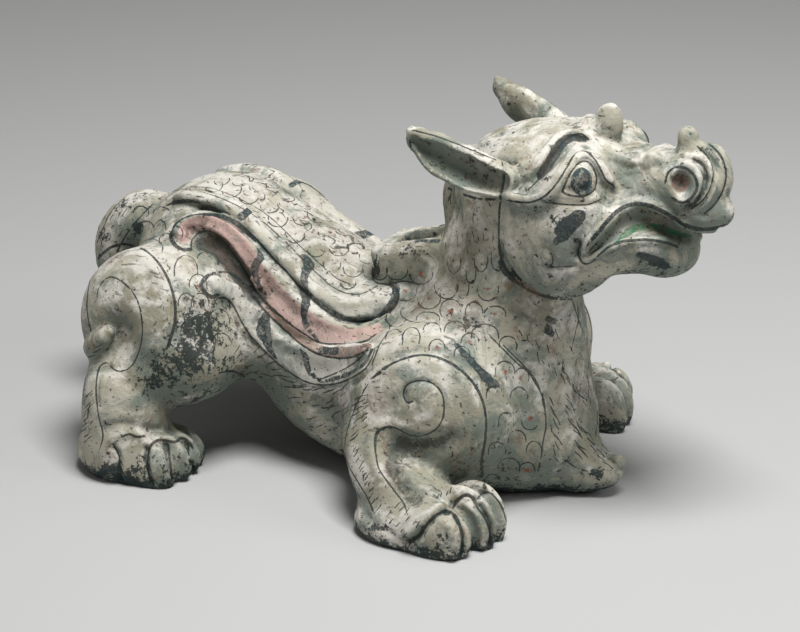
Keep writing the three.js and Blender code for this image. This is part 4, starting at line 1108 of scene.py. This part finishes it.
def paintedSlip():
    material = bpy.data.materials.new("painted slip")
    material.use_nodes = True
    tree = material.node_tree
    board = Board(tree)
    shader = tree.nodes["Principled BSDF"]
    where = board.put('ShaderNodeTexCoord').outputs["Object"]
    f = finish
    relief, soilAndShade = board.field("relief"), board.field("soilAndShade")
    paintA, paintB = board.field("paintA"), board.field("paintB")
    facing = board.field("facing")
    broad = board.noise(where, 14, 3, 0.55)
    blotch = board.noise(where, 45, 4, 0.6, 0.4)
    fine = board.noise(where, 190, 5, 0.65)
    grit = board.noise(where, 620, 3, 0.6)
    rough = board.math('ADD', fine, board.math('MULTIPLY', grit, 0.6))
    ragged = board.math('ADD', board.ramp(fine, 0.3, 0.7, -0.7, 0.7, 'LINEAR'), board.ramp(blotch, 0.3, 0.7, -0.5, 0.5, 'LINEAR'))

    # the slip: cream, chalky in places and chalkier on upward faces as painted light on the tops, stained in others,
    # with a greenish film on the sides that is laid thicker on undersides and in wide hollows as painted shade
    colour = board.over(board.ramp(broad, 0.36, 0.62), f["slip"], f["stain"])
    # the chalk is whiter on upward faces: painted light on the tops
    chalkAndToplightMask = board.math('ADD', board.math('MULTIPLY', facing[0], 0.09), blotch)
    colour = board.over(board.ramp(chalkAndToplightMask, 0.5, 0.64, 0, 0.85), colour, f["chalkAndToplight"])
    colour = board.over(board.math('MULTIPLY', soilAndShade[2], board.ramp(blotch, 0.2, 0.6, 0.35, 0.9)), colour, f["chalkAndToplight"])
    # the film grows on downward faces and in wide hollows and thins on tops: painted shade below and painted light
    # above, over the film's own random mottling
    low = board.math('ADD', board.math('MULTIPLY', facing[1], 0.22), board.math('MULTIPLY', relief[1], 0.2))
    low = board.math('SUBTRACT', low, board.math('MULTIPLY', facing[0], 0.06))
    filmAndShadeMask = board.math('ADD', board.noise(where, 26, 6, 0.75, 0.9), low)
    colour = board.over(board.ramp(filmAndShadeMask, 0.46, 0.62, 0, 0.72), colour, f["filmAndShade"])
    rusty = board.ramp(board.noise(where, 62, 4, 0.7, 0.5), 0.58, 0.7, 0, 0.6)
    colour = board.over(rusty, colour, f["earth"])

    # areas of colour with ragged, rubbed edges; the darker pink, laid along the pink strip's underside and into the dug
    # hollows, is painted shade
    rubbed = board.ramp(rough, 0.74, 1.0, 1.0, 0.45)
    for field, name, strength in ((paintA[1], "pink", 0.85), (paintA[2], "shadedPink", 0.8), (paintB[0], "green", 0.85),
                                  (paintA[0], "slate", 0.97), (paintB[1], "ink", 0.85)):
        mask = board.ramp(board.math('ADD', field, ragged), -0.2, 0.4, 0, strength)
        colour = board.over(board.math('MULTIPLY', mask, rubbed), colour, f[name])
    dots = board.ramp(board.math('ADD', paintB[2], ragged), -0.5, 0.4, 0, 0.85)
    colour = board.over(dots, colour, f["dot"])

    # brush lines
    group = brushLineGroup()
    wander = board.ramp(fine, 0.3, 0.7, -0.1, 0.28, 'LINEAR')
    wander = board.math('SUBTRACT', wander, board.ramp(board.noise(where, 85, 3, 0.6), 0.6, 0.74, 0, 0.4))
    lines = None
    for number in range(brush["layers"]):
        field = board.put('ShaderNodeAttribute', attribute_name=f"line{number + 1}").outputs["Vector"]
        node = board.put('ShaderNodeGroup', node_tree=group)
        tree.links.new(field, node.inputs["Line"])
        tree.links.new(wander, node.inputs["Wander"])
        lines = node.outputs["Mask"] if lines is None else board.math('MAXIMUM', lines, node.outputs["Mask"])
    colour = board.over(board.math('MULTIPLY', lines, board.ramp(grit, 0.4, 0.62, 0.98, 0.78)), colour, f["ink"])

    # earth in the hollows; dark soil mottling in patches, on undersides as painted shade and darker towards the ground
    # along the feet; painted shade in tight hollows; specks and streaks all over
    earth = board.math('ADD', board.math('MULTIPLY', soilAndShade[1], 0.9), board.math('MULTIPLY', relief[1], 0.35))
    earth = board.math('MULTIPLY', board.math('ADD', earth, 0.1), board.ramp(board.math('ADD', fine, blotch), 0.85, 1.2))
    colour = board.over(board.math('MINIMUM', earth, 0.8), colour, f["earth"])
    height = board.put('ShaderNodeSeparateXYZ', {0: where}).outputs[2]
    feet = board.ramp(board.math('ADD', height, board.ramp(blotch, 0.3, 0.7, -0.006, 0.006, 'LINEAR')), 0.003, 0.016, 0.95, 0)
    # downward faces take the dark soil colour: painted shade on the undersides
    under = board.math('MULTIPLY', facing[1], 0.55)
    soilAndShadeMask = board.math('MAXIMUM', board.math('MAXIMUM', soilAndShade[0], feet), under)
    soilAndShadeMask = board.math('ADD', soilAndShadeMask, board.ramp(blotch, 0.3, 0.7, -0.2, 0.2, 'LINEAR'))
    soilAndShadeMask = board.math('ADD', soilAndShadeMask, board.ramp(rough, 0.55, 1.05, -1.0, 0.55, 'LINEAR'))
    colour = board.over(board.ramp(soilAndShadeMask, 0.2, 0.55, 0, 0.9), colour, f["soilAndShade"])
    # the dark soil colour laid into tight hollows, where shade falls: painted shade
    hollow = board.math('ADD', relief[0], board.ramp(rough, 0.55, 1.05, -0.25, 0.25, 'LINEAR'))
    colour = board.over(board.ramp(hollow, 0.45, 0.9, 0, 0.7), colour, f["soilAndShade"])
    specks = board.ramp(board.noise(where, 340, 2, 0.5), 0.66, 0.71, 0, 0.75)
    along = board.put('ShaderNodeVectorMath', {0: where, 1: (0.22, 1, 0.8)}, operation='MULTIPLY').outputs[0]
    streaks = board.ramp(board.noise(along, 330, 2, 0.5), 0.63, 0.69, 0, 0.6)
    specks = board.math('MAXIMUM', specks, board.math('MULTIPLY', streaks, board.ramp(facing[0], 0.2, 0.6)))
    colour = board.over(specks, colour, f["speck"])
    worn = board.ramp(board.math('ADD', relief[2], board.ramp(rough, 0.55, 1.05, -0.35, 0.35, 'LINEAR')), 0.62, 0.95, 0, 0.5)
    colour = board.over(worn, colour, f["chalkAndToplight"])
    tree.links.new(colour, shader.inputs["Base Color"])
    tree.links.new(board.ramp(board.math('ADD', fine, lines), 0.3, 1.4, 0.86, 0.66), shader.inputs["Roughness"])
    pitted = board.math('SUBTRACT', rough, board.math('MULTIPLY', specks, 0.5))
    bump = board.put('ShaderNodeBump', {"Height": pitted, "Strength": 0.6, "Distance": 0.0011})
    tree.links.new(bump.outputs["Normal"], shader.inputs["Normal"])
    shader.inputs["Specular IOR Level"].default_value = 0.3
    return material


beast.data.materials.clear()
beast.data.materials.append(paintedSlip())


# The floor, the light and the camera
studio = dict(floor=(0.5, 0.5, 0.495), world=0.09, key=40, fill=3.5, rim=6)


def buildStudio():
    mesh = bpy.data.meshes.new("floor")
    mesh.from_pydata([(-6, -6, 0), (6, -6, 0), (6, 6, 0), (-6, 6, 0)], [], [(0, 1, 2, 3)])
    floor = bpy.data.objects.new("floor", mesh)
    bpy.context.scene.collection.objects.link(floor)
    paper = bpy.data.materials.new("pale paper")
    paper.use_nodes = True
    shader = paper.node_tree.nodes["Principled BSDF"]
    shader.inputs["Base Color"].default_value = (*studio["floor"], 1)
    shader.inputs["Roughness"].default_value = 0.9
    mesh.materials.append(paper)
    world = bpy.data.worlds.new("studio")
    bpy.context.scene.world = world
    world.use_nodes = True
    world.node_tree.nodes["Background"].inputs["Color"].default_value = (1, 1, 1, 1)
    world.node_tree.nodes["Background"].inputs["Strength"].default_value = studio["world"]
    for name, spot, size, power in (("key", (0.4, -0.28, 1.8), 0.7, studio["key"]),
                                    ("fill", (-1.6, -1.2, 0.8), 1.2, studio["fill"]),
                                    ("rim", (1.5, 0.3, 0.9), 0.8, studio["rim"])):
        light = bpy.data.lights.new(name, 'AREA')
        light.size = size
        light.energy = power
        lamp = bpy.data.objects.new(name, light)
        bpy.context.scene.collection.objects.link(lamp)
        lamp.location = spot
        lamp.rotation_euler = (Vector((0, 0, 0.1)) - Vector(spot)).to_track_quat('-Z', 'Y').to_euler()


buildStudio()
buildCamera()
bpy.context.scene.view_settings.view_transform = 'Standard'
